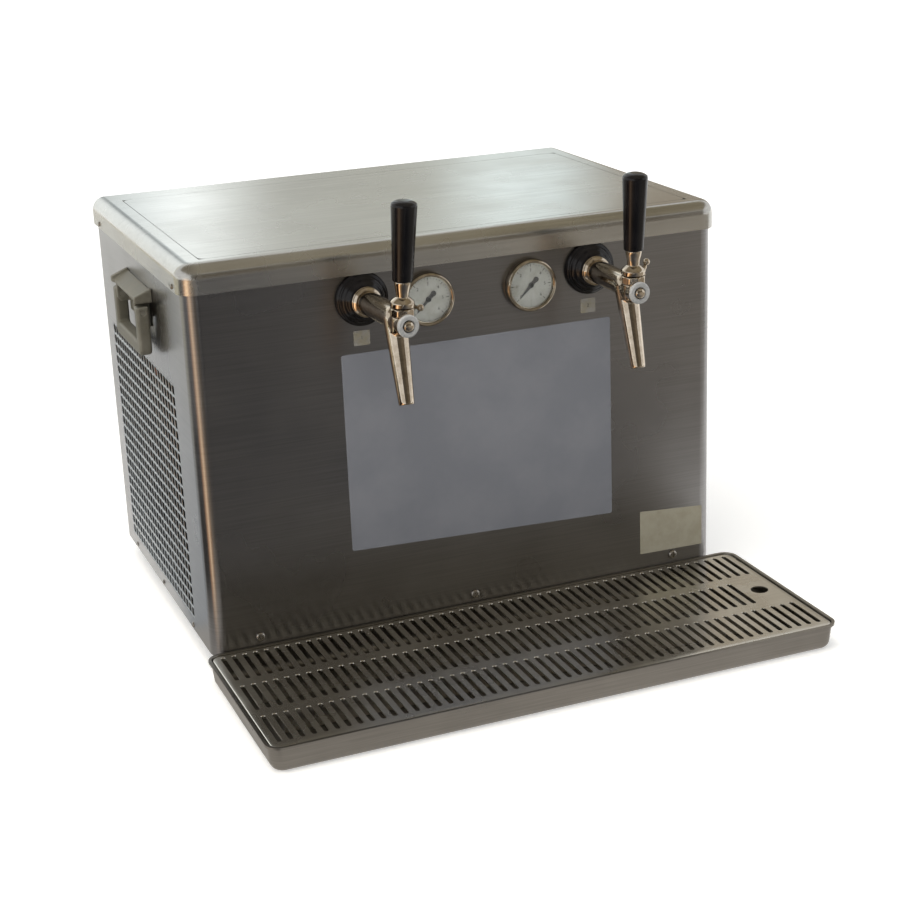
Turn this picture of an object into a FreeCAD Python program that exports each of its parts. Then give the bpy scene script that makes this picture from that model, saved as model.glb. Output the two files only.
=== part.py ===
import FreeCAD, Part
import math
import os
import re

import Sketcher

# Two-tap over-counter beer cooler: a stainless cabinet with a cold block and a small
# refrigerating set, two compensator taps, two gas gauges, and a drip tray in front.
# +Z is up and the taps face -Y. It is drawn about the point on the counter under the
# cabinet's middle, and its files are moved to the middle of the whole at the end.

doc = FreeCAD.newDocument("beer_cooler")
sheet = doc.addObject("Spreadsheet::Sheet", "sizes")

DRIVING = {
    # cabinet
    "cabinet_width": 523.0,
    "cabinet_depth": 348.0,
    "panel_height": 344.0,
    "corner_radius": 14.0,
    "sheet_gauge": 1.0,
    "wall_rise": 12.0,
    "fit_gap": 0.3,
    "pan_gauge": 1.5,
    "pan_flange": 20.0,
    "rear_flange": 12.0,
    "vent_columns": 7,
    "vent_rows": 5,
    "vent_pitch": 46.0,
    "vent_length": 36.0,
    "vent_height": 4.0,
    "vent_spacing": 12.0,
    "vent_drop": 60.0,
    # feet
    "foot_height": 21.0,
    "foot_inset": 48.0,
    "foot_top_radius": 17.0,
    "foot_bottom_radius": 15.0,
    "foot_recess_radius": 7.0,
    "foot_recess_depth": 7.0,
    "foot_bolt_radius": 3.0,
    "foot_bolt_head": 5.0,
    "foot_bolt_head_height": 4.0,
    "foot_bolt_end": 8.0,
    # lid
    "lid_height": 27.0,
    "lid_overhang": 3.5,
    "lid_rear_overhang": 1.5,
    "lid_edge_radius": 13.0,
    "lid_gauge": 1.2,
    "inset_side": 24.0,
    "inset_front": 20.0,
    "inset_rear": 33.0,
    "inset_corner": 7.0,
    "inset_seam": 0.6,
    "inset_ledge": 6.0,
    "lid_rest_inset": 17.5,
    "lid_rest_length": 300.0,
    "lid_screw_height": 4.5,
    "lid_screw_front": 33.0,
    "lid_screw_rear": 25.0,
    "small_head_radius": 2.6,
    "small_head_height": 1.2,
    "small_shank_radius": 1.4,
    # side grilles
    "grille_pitch": 11.05,
    "grille_hole": 9.2,
    "grille_columns": 23,
    "grille_rows": 21,
    "grille_front": 67.0,
    "grille_bottom": 14.5,
    # front, rear and side screws
    "front_screw_spread": 216.5,
    "rear_screw_spread": 231.0,
    "front_screw_height": 13.5,
    "dome_radius": 4.6,
    "dome_height": 3.2,
    "dome_shank_radius": 2.0,
    "screw_length": 7.0,
    "side_screw_height": 4.2,
    "side_screw_middle": 17.0,
    # taps, in the tap's own frame: axis at the origin, panel face at y = 0, -y to the user
    "right_tap_x": 127.5,
    "left_tap_x": -99.5,
    "tap_height": 342.3,
    "left_tap_swing": 4.0,
    "left_tap_lean": 2.5,
    "shank_radius": 8.0,
    "shank_inside": 42.0,
    "shank_outside": 30.0,
    "shank_bore": 4.0,
    "shank_nut_radius": 14.0,
    "shank_nut_width": 8.0,
    "shank_washer_width": 2.5,
    "rosette_radius": 25.2,
    "rosette_depth": 13.0,
    "rosette_face_radius": 14.5,
    "collar_radius": 14.0,
    "collar_width": 6.5,
    "pipe_radius": 11.0,
    "elbow_reach": 75.6,
    "elbow_radius": 10.9,
    "spout_lean": 17.35,
    "spout_length": 76.5,
    "spout_tip_radius": 6.85,
    "spout_bore": 4.6,
    "head_reach": 90.0,
    "head_radius": 10.0,
    "head_top": 4.5,
    "head_bottom": -10.0,
    "boss_reach": 101.1,
    "valve_drop": 2.2,
    "boss_radius": 9.6,
    "piston_radius": 5.6,
    "running_gap": 0.05,
    "piston_front": 93.2,
    "piston_back": 54.0,
    "chamber_back": 46.0,
    "pivot_height": 8.0,
    "ball_radius": 5.5,
    "stem_radius": 2.6,
    "finger_radius": 2.2,
    "finger_length": 12.0,
    "slot_half": 3.45,
    "slot_wide_half": 5.2,
    "union_radius": 10.9,
    "union_height": 7.0,
    "union_mouth": 5.0,
    "ball_gap": 0.2,
    "neck_radius": 4.6,
    "neck_height": 0.8,
    "cap_radius": 10.8,
    "cap_inner_radius": 11.8,
    "cap_bottom": 13.2,
    "cap_shoulder": 17.0,
    "cap_top": 20.8,
    "ferrule_bottom_radius": 5.4,
    "ferrule_top_radius": 7.3,
    "grip_bottom": 35.0,
    "grip_length": 69.0,
    "grip_bottom_radius": 8.9,
    "grip_top_radius": 11.35,
    "grip_bevel": 3.2,
    "grip_dome": 1.2,
    "grip_bore": 3.0,
    "grip_bore_depth": 22.0,
    "lever_lean": 3.3,
    "ring_radius": 10.0,
    "ring_width": 3.0,
    "ring_bore": 4.6,
    "knob_radius": 4.3,
    "knob_width": 5.0,
    "flow_reach": 77.0,
    "flow_height": 7.5,
    "flow_hub_radius": 3.2,
    "flow_hub_start": 10.4,
    "flow_hub_end": 18.0,
    "flow_pin_length": 5.0,
    "flow_arm_radius": 1.5,
    "flow_arm_length": 15.3,
    "flow_ball_radius": 2.9,
    "right_flow_angle": 30.0,
    "left_flow_angle": 80.0,
    # gas gauges
    "right_gauge_x": 65.4,
    "left_gauge_x": -36.9,
    "gauge_height": 334.3,
    "bezel_radius": 25.0,
    "bezel_depth": 9.0,
    "bezel_face_radius": 21.6,
    "gauge_case_radius": 22.5,
    "gauge_case_depth": 22.0,
    "gauge_wall": 1.5,
    "dial_radius": 21.0,
    "dial_gauge": 0.8,
    "dial_depth": 3.4,
    "lens_gauge": 1.6,
    "lens_depth": 7.6,
    "pointer_length": 15.5,
    "pointer_tail": 7.5,
    "pointer_hub": 2.2,
    "pointer_gauge": 0.7,
    "pointer_height": 4.9,
    "pointer_pin": 0.8,
    "pointer_rest": 225.0,
    "gauge_stem_radius": 5.0,
    "gauge_stem_length": 14.0,
    # drip tray and grid
    "tray_left": 270.5,
    "tray_right": 283.0,
    "tray_reach": 203.0,
    "tray_height": 26.0,
    "tray_gauge": 1.0,
    "tray_draft": 2.5,
    "tray_corner": 12.0,
    "tray_bend": 8.0,
    "tray_lip": 2.0,
    "tray_lip_depth": 2.0,
    "tray_panel_gap": 0.8,
    "grid_end_gap": 1.2,
    "grid_drop": 1.0,
    "grid_gauge": 1.5,
    "grid_fold": 5.0,
    "slot_pitch": 10.3,
    "slot_count": 52,
    "slot_middle_count": 49,
    "slot_length": 51.0,
    "slot_width": 4.6,
    "slot_row_pitch": 64.0,
    "slot_first_x": -256.3,
    "slot_first_y": 9.5,
    "grid_hole_x": 258.7,
    "grid_hole_radius": 8.5,
    "grid_foot_width": 3.0,
    "grid_foot_end": 30.0,
    # carry handles, outward from the side panel
    "handle_half": 50.5,
    "handle_top": 345.5,
    "hood_reach": 17.0,
    "hood_outer_top": 338.7,
    "hood_bottom": 333.0,
    "hood_cheek": 5.0,
    "hood_scoop_top": 343.5,
    "hood_scoop_reach": 14.5,
    "hood_lip_height": 5.0,
    "ear_inner": 34.5,
    "ear_outer": 38.8,
    "ear_bottom": 316.0,
    "plate_gauge": 2.5,
    "bail_inner": 39.1,
    "bail_top": 328.7,
    "bail_bottom": 281.5,
    "bail_bar": 13.0,
    "bail_back": 3.6,
    "bail_front": 15.7,
    "bail_edge": 2.5,
    "bail_corner": 6.0,
    "bail_pivot": 323.0,
    "bail_pin_radius": 2.5,
    "handle_screw_spread": 26.0,
    "handle_screw_height": 318.0,
    # plates and labels on the front
    "label_gauge": 0.3,
    "sheet_left": -121.8,
    "sheet_right": 149.0,
    "sheet_bottom": 91.4,
    "sheet_slope": 10.4,
    "sheet_top": 291.7,
    "plate_left": 180.3,
    "plate_right": 250.0,
    "plate_slope": 2.5,
    "plate_bottom": 40.3,
    "plate_top": 83.7,
    "number_size": 15.5,
    "number_drop": 36.5,
    "number_shift": -1.5,
    # inside
    "jacket_left": -150.0,
    "jacket_right": 152.0,
    "jacket_front": -158.0,
    "jacket_back": -32.0,
    "jacket_height": 272.0,
    "jacket_wall": 20.0,
    "beer_line_radius": 4.0,
    "line_bend": 14.0,
    "condenser_front": -72.0,
    "condenser_back": 140.0,
    "condenser_depth": 34.0,
    "condenser_height": 200.0,
    "condenser_gaps": 12,
    "condenser_gap": 8.0,
    "condenser_edge": 6.0,
    "fan_radius": 88.0,
    "fan_blades": 5,
    "blade_gauge": 2.2,
    "blade_width": 34.0,
    "blade_root": 3.0,
    "blade_pitch": 35.0,
    "fan_hub_radius": 22.0,
    "fan_width": 24.0,
    "fan_y": 34.0,
    "fan_z": 140.0,
    "shroud_gauge": 1.5,
    "motor_radius": 30.0,
    "motor_length": 38.0,
    "shaft_radius": 3.0,
    "compressor_x": 160.0,
    "compressor_y": 76.0,
    "compressor_radius": 60.0,
    "compressor_height": 150.0,
    "compressor_dome": 24.0,
    "leg_radius": 9.0,
    "leg_height": 30.0,
    "pipe_rise": 30.0,
    "coolant_line_radius": 3.0,
    "line_offset": 12.0,
    "thermostat_x": 205.0,
    "thermostat_z": 300.0,
    "thermostat_size": 44.0,
    "knob_rear_radius": 14.0,
    "knob_rear_depth": 12.0,
    "knob_shaft_radius": 3.0,
    "inlet_height": 60.0,
    "beer_inlet_x": -3.0,
    "inlet_spacing": 34.0,
    "inlet_radius": 7.0,
    "inlet_outside": 16.0,
    "inlet_inside": 14.0,
    "gas_line_gap": 16.0,
    "power_x": -190.0,
    "power_width": 48.0,
    "power_height": 27.0,
    "power_depth": 30.0,
    "power_flange": 3.0,
    "power_lip": 2.0,
    "power_wall": 5.0,
    "power_side_wall": 12.0,
    "power_well_depth": 16.0,
    "prong_spacing": 6.0,
    "prong_half": 1.0,
}

for row, (alias, value) in enumerate(DRIVING.items(), start=1):
    sheet.set(f"A{row}", alias)
    sheet.set(f"B{row}", str(value))
    sheet.setAlias(f"B{row}", alias)
doc.recompute()

nodes = []


def bound(expression):
    """The expression with every driving dimension read from the sheet."""
    return re.sub(
        r"[a-z][a-z_0-9]*",
        lambda word: "sizes." + word[0] if word[0] in DRIVING else word[0],
        str(expression),
    )


def number(expression):
    """The present value of an expression, in millimetres or degrees."""
    value = sheet.evalExpression(bound(expression))
    return float(getattr(value, "Value", value))


def bind(thing, field, expression):
    thing.setExpression(field, bound(expression))


def keep(thing, label):
    """Give a finished sub-part the name that its file takes."""
    thing.Label = label
    nodes.append(thing)
    return thing


def turn_to(axis):
    """Rotation that carries +Z to the named axis."""
    ways = {
        "x": FreeCAD.Rotation(FreeCAD.Vector(0, 1, 0), 90),
        "y": FreeCAD.Rotation(FreeCAD.Vector(1, 0, 0), -90),
        "z": FreeCAD.Rotation(),
    }
    return ways[axis]


def move_to(thing, x, y, z):
    for letter, expression in zip("xyz", (x, y, z)):
        bind(thing, f"Placement.Base.{letter}", expression)


def block(x, y, z):
    """A box between two expressions along each axis."""
    box = doc.addObject("Part::Box", "block")
    for field, (low, high) in zip(("Length", "Width", "Height"), (x, y, z)):
        bind(box, field, f"({high}) - ({low})")
    move_to(box, x[0], y[0], z[0])
    return box


def rod(radius, axis, low, high, x="0", y="0", z="0"):
    """A cylinder along an axis between two expressions, through (x, y, z)."""
    bar = doc.addObject("Part::Cylinder", "rod")
    bind(bar, "Radius", radius)
    bind(bar, "Height", f"({high}) - ({low})")
    bar.Placement = FreeCAD.Placement(FreeCAD.Vector(), turn_to(axis))
    start = {"x": x, "y": y, "z": z}
    start[axis] = low
    move_to(bar, start["x"], start["y"], start["z"])
    return bar


def ball(radius, x="0", y="0", z="0"):
    round_one = doc.addObject("Part::Sphere", "ball")
    bind(round_one, "Radius", radius)
    move_to(round_one, x, y, z)
    return round_one


def fuse(*things):
    joined = doc.addObject("Part::MultiFuse", "fuse")
    joined.Shapes = list(things)
    return joined


def cut(base, *tools):
    """The base without the tools, which are fused first when there is more than one."""
    result = doc.addObject("Part::Cut", "cut")
    result.Base = base
    result.Tool = fuse(*tools) if len(tools) > 1 else tools[0]
    return result


def common(base, tool):
    result = doc.addObject("Part::Common", "common")
    result.Base = base
    result.Tool = tool
    return result


def group(*things):
    """Separate like solids that share one node."""
    several = doc.addObject("Part::Compound", "group")
    several.Links = list(things)
    return several


def body():
    return doc.addObject("PartDesign::Body", "body")


def sketch(owner, role, offset="0"):
    """A sketch on one of the body's own origin planes, moved along its normal."""
    drawing = owner.newObject("Sketcher::SketchObject", "sketch")
    plane = next(p for p in owner.Origin.OriginFeatures if p.Role == role)
    drawing.AttachmentSupport = (plane, [""])
    drawing.MapMode = "FlatFace"
    bind(drawing, "AttachmentOffset.Base.z", offset)
    return drawing


def pin_point(drawing, geometry, point, x, y):
    for kind, expression in (("DistanceX", x), ("DistanceY", y)):
        start = number(expression)
        rule = drawing.addConstraint(
            Sketcher.Constraint(kind, -1, 1, geometry, point, start)
        )
        bind(drawing, f"Constraints[{rule}]", expression)


def polygon(drawing, corners):
    """A closed outline whose corners are pairs of expressions."""
    first = drawing.GeometryCount
    count = len(corners)
    points = [FreeCAD.Vector(number(x), number(y), 0) for x, y in corners]
    for i in range(count):
        drawing.addGeometry(Part.LineSegment(points[i], points[(i + 1) % count]))
    for i in range(count):
        follower = first + (i + 1) % count
        drawing.addConstraint(
            Sketcher.Constraint("Coincident", first + i, 2, follower, 1)
        )
    for i, (x, y) in enumerate(corners):
        pin_point(drawing, first + i, 1, x, y)


def rectangle(drawing, x, y):
    polygon(drawing, [(x[0], y[0]), (x[1], y[0]), (x[1], y[1]), (x[0], y[1])])


def circle(drawing, x, y, radius):
    centre = FreeCAD.Vector(number(x), number(y), 0)
    ring = drawing.addGeometry(
        Part.Circle(centre, FreeCAD.Vector(0, 0, 1), number(radius))
    )
    rule = drawing.addConstraint(Sketcher.Constraint("Radius", ring, number(radius)))
    bind(drawing, f"Constraints[{rule}]", radius)
    pin_point(drawing, ring, 3, x, y)


def pad(owner, drawing, length, backwards=False):
    feature = owner.newObject("PartDesign::Pad", "pad")
    feature.Profile = drawing
    feature.Reversed = backwards
    bind(feature, "Length", length)
    return feature


def pocket(owner, drawing, length, backwards=False):
    """A pocket that has to take material away."""
    doc.recompute()
    before = owner.Shape.Volume
    feature = owner.newObject("PartDesign::Pocket", "pocket")
    feature.Profile = drawing
    feature.Refine = False
    feature.Reversed = backwards
    bind(feature, "Length", length)
    doc.recompute()
    if not owner.Shape.Volume < before:
        raise ValueError("a pocket points away from its solid")
    return feature


def line_pattern(owner, drawing, columns, feature=None):
    """Copies along one of the sketch's axes: (axis, pitch, count).

    Without a feature the whole body is repeated, and the seams between copies stay.
    """
    pattern = owner.newObject("PartDesign::LinearPattern", "pattern")
    if feature:
        pattern.Originals = [feature]
    else:
        pattern.TransformMode = "Whole shape"
    pattern.Refine = False
    axis, pitch, count = columns
    pattern.Direction = (drawing, [axis])
    pattern.Mode = "Spacing"
    bind(pattern, "Offset", pitch)
    bind(pattern, "Occurrences", count)
    owner.Tip = pattern
    return pattern


def round_edges(owner, radius, wanted):
    """Fillet every edge of the body that the test picks."""
    doc.recompute()
    base = owner.Tip
    names = [
        f"Edge{i}"
        for i, edge in enumerate(base.Shape.Edges, start=1)
        if wanted(edge)
    ]
    feature = owner.newObject("PartDesign::Fillet", "fillet")
    feature.Base = (base, names)
    bind(feature, "Radius", radius)
    doc.recompute()
    return feature


def is_near(a, b):
    return abs(a - b) < 0.01


def upright(edge):
    """Whether an edge is straight and runs mostly up."""
    box = edge.BoundBox
    return box.ZLength > 2 * max(box.XLength, box.YLength)


def upright_at(y):
    """A test for straight upright edges on the plane at y."""
    place = number(y)
    return lambda edge: upright(edge) and is_near(edge.BoundBox.YMin, place)


def level_at(z, except_y=None):
    """A test for edges that lie level at z, leaving out the one along except_y."""
    height = number(z)
    left_out = None if except_y is None else number(except_y)

    def wanted(edge):
        box = edge.BoundBox
        if left_out is not None and is_near(box.YMin, left_out):
            return False
        return is_near(box.ZMin, height) and is_near(box.ZMax, height)

    return wanted


def lathe(corners, axis):
    """A body of revolution; corners are (along, radius) about y or z, as expressions."""
    owner = body()
    role, line = {"y": ("YZ_Plane", "H_Axis"), "z": ("XZ_Plane", "V_Axis")}[axis]
    drawing = sketch(owner, role)
    if axis == "z":
        corners = [(radius, along) for along, radius in corners]
    polygon(drawing, corners)
    turned = owner.newObject("PartDesign::Revolution", "turned")
    turned.Profile = drawing
    turned.ReferenceAxis = (drawing, [line])
    turned.Angle = 360
    return owner


def slab(owner, role, offset, corners, length):
    """Add a polygon padded from an offset plane of the body."""
    drawing = sketch(owner, role, offset)
    polygon(drawing, corners)
    return pad(owner, drawing, length)


def tube(points, radius, bend):
    """A round bar along straight runs joined by tangent arcs."""
    corners = [FreeCAD.Vector(*(number(c) for c in point)) for point in points]
    edges = []
    start = corners[0]
    for before, corner, after in zip(corners, corners[1:], corners[2:]):
        back = (before - corner).normalize()
        ahead = (after - corner).normalize()
        half = math.acos(max(-1.0, min(1.0, back.dot(ahead)))) / 2
        reach = number(bend) / math.tan(half)
        middle = (back + ahead).normalize()
        depth = number(bend) / math.sin(half) - number(bend)
        first = corner + back * reach
        last = corner + ahead * reach
        edges.append(Part.LineSegment(start, first).toShape())
        edges.append(Part.Arc(first, corner + middle * depth, last).toShape())
        start = last
    edges.append(Part.LineSegment(start, corners[-1]).toShape())
    path = Part.Wire(edges)
    way = (corners[1] - corners[0]).normalize()
    ring = Part.Wire(Part.Circle(corners[0], way, number(radius)).toShape())
    pipe = doc.addObject("Part::Feature", "tube")
    pipe.Shape = path.makePipeShell([ring], True, False)
    return pipe


# Places that several pieces share, as expressions of the driving dimensions.
FRONT = "-cabinet_depth / 2"
BACK = "cabinet_depth / 2"
SIDE = "cabinet_width / 2"
FLOOR = "foot_height"
RIM = "foot_height + panel_height"
TOP = "foot_height + panel_height + lid_height"
WALL_TOP = "foot_height + panel_height + wall_rise"
INSIDE = "cabinet_width / 2 - sheet_gauge"
GRILLE_WIDE = "(grille_columns * grille_pitch)"
GRILLE_TALL = "(grille_rows * grille_pitch)"
GRILLE_Y = "(grille_front - cabinet_depth / 2 - (grille_pitch - grille_hole) / 2)"
GRILLE_Z = "(foot_height + grille_bottom - (grille_pitch - grille_hole) / 2)"
SIDES = {"left": -1, "right": 1}
TAPS = {"left": "left_tap_x", "right": "right_tap_x"}
GAUGES = {"left": "left_gauge_x", "right": "right_gauge_x"}
FRONT_SCREWS = [f"{i} * front_screw_spread" for i in (-1, 0, 1)]
REAR_SCREWS = [f"{i} * rear_screw_spread" for i in (-1, 0, 1)]
SIDE_SCREWS = [f"side_screw_middle + {i} * cabinet_depth / 3" for i in (-1, 0, 1)]
HANDLE_SCREWS = ["-handle_screw_spread", "handle_screw_spread"]
LID_SCREWS = ["lid_screw_front - cabinet_depth / 2", "cabinet_depth / 2 - lid_screw_rear"]
FEET = [(x, y) for x in (-1, 1) for y in (-1, 1)]


def foot_x(sign):
    return f"{sign} * (cabinet_width / 2 - foot_inset)"


def foot_y(sign):
    return f"{sign} * (cabinet_depth / 2 - foot_inset)"


def hole(radius, axis, low, high, x="0", y="0", z="0"):
    """A drilled hole, a little wider than the shank that passes it."""
    return rod(f"{radius} + 0.15", axis, low, high, x, y, z)


def front_hole(radius, x, z):
    return rod(radius, "y", f"{FRONT} - 1", f"{FRONT} + sheet_gauge + 1", x=x, z=z)


# Cabinet shell


def chassis_pan():
    owner = body()
    drawing = sketch(owner, "XY_Plane", FLOOR)
    gap = "(sheet_gauge + fit_gap)"
    rectangle(
        drawing,
        (f"-({SIDE}) + {gap}", f"{SIDE} - {gap}"),
        (f"{FRONT} + {gap}", f"{BACK} - {gap}"),
    )
    pad(owner, drawing, "pan_flange")
    inner = sketch(owner, "XY_Plane", f"{FLOOR} + pan_gauge")
    wall = f"({gap} + pan_gauge)"
    rectangle(
        inner,
        (f"-({SIDE}) + {wall}", f"{SIDE} - {wall}"),
        (f"{FRONT} + {wall}", f"{BACK} - {wall}"),
    )
    pocket(owner, inner, "pan_flange", backwards=True)
    for layer in (wall, gap):
        round_edges(owner, f"corner_radius - {layer}", upright_at(f"{FRONT} + {layer}"))
    shank = "dome_shank_radius"
    holes = [
        hole("foot_bolt_radius", "z", f"{FLOOR} - 1", f"{FLOOR} + 4", foot_x(a), foot_y(b))
        for a, b in FEET
    ]
    for x in FRONT_SCREWS:
        z = f"{FLOOR} + front_screw_height"
        holes.append(hole(shank, "y", FRONT, f"{FRONT} + 6", x=x, z=z))
    for x in REAR_SCREWS:
        z = f"{FLOOR} + front_screw_height"
        holes.append(hole("small_shank_radius", "y", f"{BACK} - 6", BACK, x=x, z=z))
    for sign in SIDES.values():
        for y in SIDE_SCREWS:
            ends = sorted((f"{sign} * ({SIDE} - 6)", f"{sign} * ({SIDE})"), key=number)
            z = f"{FLOOR} + side_screw_height"
            holes.append(hole("small_shank_radius", "x", *ends, y=y, z=z))
    keep(cut(owner, *holes), "chassis_pan")


def cabinet_wrap():
    owner = body()
    drawing = sketch(owner, "XY_Plane", FLOOR)
    rectangle(drawing, (f"-({SIDE})", SIDE), (FRONT, BACK))
    pad(owner, drawing, "panel_height + wall_rise")
    inner = sketch(owner, "XY_Plane", FLOOR)
    rectangle(
        inner, (f"-({INSIDE})", INSIDE), (f"{FRONT} + sheet_gauge", f"{BACK} + 5")
    )
    pocket(owner, inner, "panel_height + wall_rise", backwards=True)
    for layer in ("sheet_gauge", "0"):
        round_edges(owner, f"corner_radius - {layer}", upright_at(f"{FRONT} + {layer}"))
    openings = []
    for sign in SIDES.values():
        ends = sorted((f"{sign} * ({SIDE} + 1)", f"{sign} * ({INSIDE} - 1)"), key=number)
        tall = (f"{GRILLE_Z} - fit_gap", f"{GRILLE_Z} + {GRILLE_TALL} + fit_gap")
        wide = (f"{GRILLE_Y} - fit_gap", f"{GRILLE_Y} + {GRILLE_WIDE} + fit_gap")
        openings.append(block(ends, wide, tall))
        for y in SIDE_SCREWS:
            z = f"{FLOOR} + side_screw_height"
            openings.append(hole("small_shank_radius", "x", *ends, y=y, z=z))
        for y in LID_SCREWS:
            z = f"{RIM} + lid_screw_height"
            openings.append(hole("small_shank_radius", "x", *ends, y=y, z=z))
        for y in HANDLE_SCREWS:
            z = "handle_screw_height"
            openings.append(hole("small_shank_radius", "x", *ends, y=y, z=z))
    for x in TAPS.values():
        openings.append(front_hole("shank_radius + 0.4", x, "tap_height"))
    for x in GAUGES.values():
        openings.append(front_hole("gauge_case_radius + 0.3", x, "gauge_height"))
    for x in FRONT_SCREWS:
        z = f"{FLOOR} + front_screw_height"
        openings.append(front_hole("dome_shank_radius + 0.15", x, z))
    keep(cut(owner, *openings), "cabinet_wrap")


def side_grilles():
    """Perforated plates built as equal upright strips, each with one column of holes."""
    owner = body()
    strip = sketch(owner, "YZ_Plane", f"-({SIDE})")
    rectangle(
        strip,
        (GRILLE_Y, f"{GRILLE_Y} + grille_pitch"),
        (GRILLE_Z, f"{GRILLE_Z} + {GRILLE_TALL}"),
    )
    pad(owner, strip, "sheet_gauge")
    opening = sketch(owner, "YZ_Plane", f"-({SIDE})")
    web = "(grille_pitch - grille_hole) / 2"
    rectangle(
        opening,
        (f"{GRILLE_Y} + {web}", f"{GRILLE_Y} + {web} + grille_hole"),
        (f"{GRILLE_Z} + {web}", f"{GRILLE_Z} + {web} + grille_hole"),
    )
    first = pocket(owner, opening, "sheet_gauge", backwards=True)
    line_pattern(owner, opening, ("V_Axis", "grille_pitch", "grille_rows"), first)
    line_pattern(owner, opening, ("H_Axis", "grille_pitch", "grille_columns"))
    keep(owner, "left_grille")
    mirrored = doc.addObject("Part::Mirroring", "mirrored")
    mirrored.Source = owner
    mirrored.Normal = FreeCAD.Vector(1, 0, 0)
    keep(mirrored, "right_grille")


def rear_panel():
    edge = "(sheet_gauge + fit_gap)"
    low = f"{FLOOR} + pan_flange + fit_gap"
    plate = block(
        (f"-({SIDE}) + {edge}", f"{SIDE} - {edge}"),
        (f"{BACK} - sheet_gauge", BACK),
        (FLOOR, WALL_TOP),
    )
    folds = []
    for sign in SIDES.values():
        ends = (f"{sign} * ({SIDE} - {edge})", f"{sign} * ({SIDE} - {edge} - sheet_gauge)")
        inward = (f"{BACK} - rear_flange", f"{BACK} - sheet_gauge")
        folds.append(block(sorted(ends, key=number), inward, (low, WALL_TOP)))
    through = (f"{BACK} - sheet_gauge - 1", f"{BACK} + 1")
    openings = []
    for x in inlet_places():
        openings.append(hole("inlet_radius - 2", "y", *through, x=x, z="inlet_height"))
    knob = hole("knob_shaft_radius", "y", *through, x="thermostat_x", z="thermostat_z")
    openings.append(knob)
    openings.append(power_opening())
    for x in REAR_SCREWS:
        z = f"{FLOOR} + front_screw_height"
        openings.append(hole("small_shank_radius", "y", *through, x=x, z=z))
    columns = int(number("vent_columns"))
    for column in range(columns):
        middle = f"({column} - (vent_columns - 1) / 2) * vent_pitch"
        wide = (f"{middle} - vent_length / 2", f"{middle} + vent_length / 2")
        for line in range(int(number("vent_rows"))):
            z = f"{RIM} - vent_drop - {line} * vent_spacing"
            openings.append(block(wide, through, (z, f"{z} + vent_height")))
    keep(cut(fuse(plate, *folds), *openings), "rear_panel")


def beer_inlet_places():
    return ["beer_inlet_x", "beer_inlet_x + inlet_spacing"]


def inlet_places():
    """Beer inlets in the middle, gas inlets straight behind their gauges."""
    return beer_inlet_places() + list(GAUGES.values())


def power_opening():
    return block(
        ("power_x - power_width / 2 - 0.2", "power_x + power_width / 2 + 0.2"),
        (f"{BACK} - sheet_gauge - 1", f"{BACK} + 1"),
        ("inlet_height - power_height / 2 - 0.2", "inlet_height + power_height / 2 + 0.2"),
    )


def feet_and_bolts():
    feet = []
    bolts = []
    for a, b in FEET:
        rise = "foot_height"
        hollow = "foot_recess_depth"
        bore = "(foot_bolt_radius + 0.15)"
        foot = lathe(
            [
                ("0", "foot_recess_radius"),
                ("0", "foot_bottom_radius - 1.5"),
                ("1.5", "foot_bottom_radius"),
                (rise, "foot_top_radius"),
                (rise, bore),
                (hollow, bore),
                (hollow, "foot_recess_radius"),
            ],
            "z",
        )
        move_to(foot, foot_x(a), foot_y(b), "0")
        feet.append(foot)
        seat = "foot_recess_depth"
        end = "foot_height + pan_gauge + foot_bolt_end"
        bolt = lathe(
            [
                (f"{seat} - foot_bolt_head_height", "0"),
                (f"{seat} - foot_bolt_head_height", "foot_bolt_head"),
                (seat, "foot_bolt_head"),
                (seat, "foot_bolt_radius"),
                (end, "foot_bolt_radius"),
                (end, "0"),
            ],
            "z",
        )
        move_to(bolt, foot_x(a), foot_y(b), "0")
        bolts.append(bolt)
    keep(group(*feet), "rubber_feet")
    keep(group(*bolts), "foot_bolts")


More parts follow.
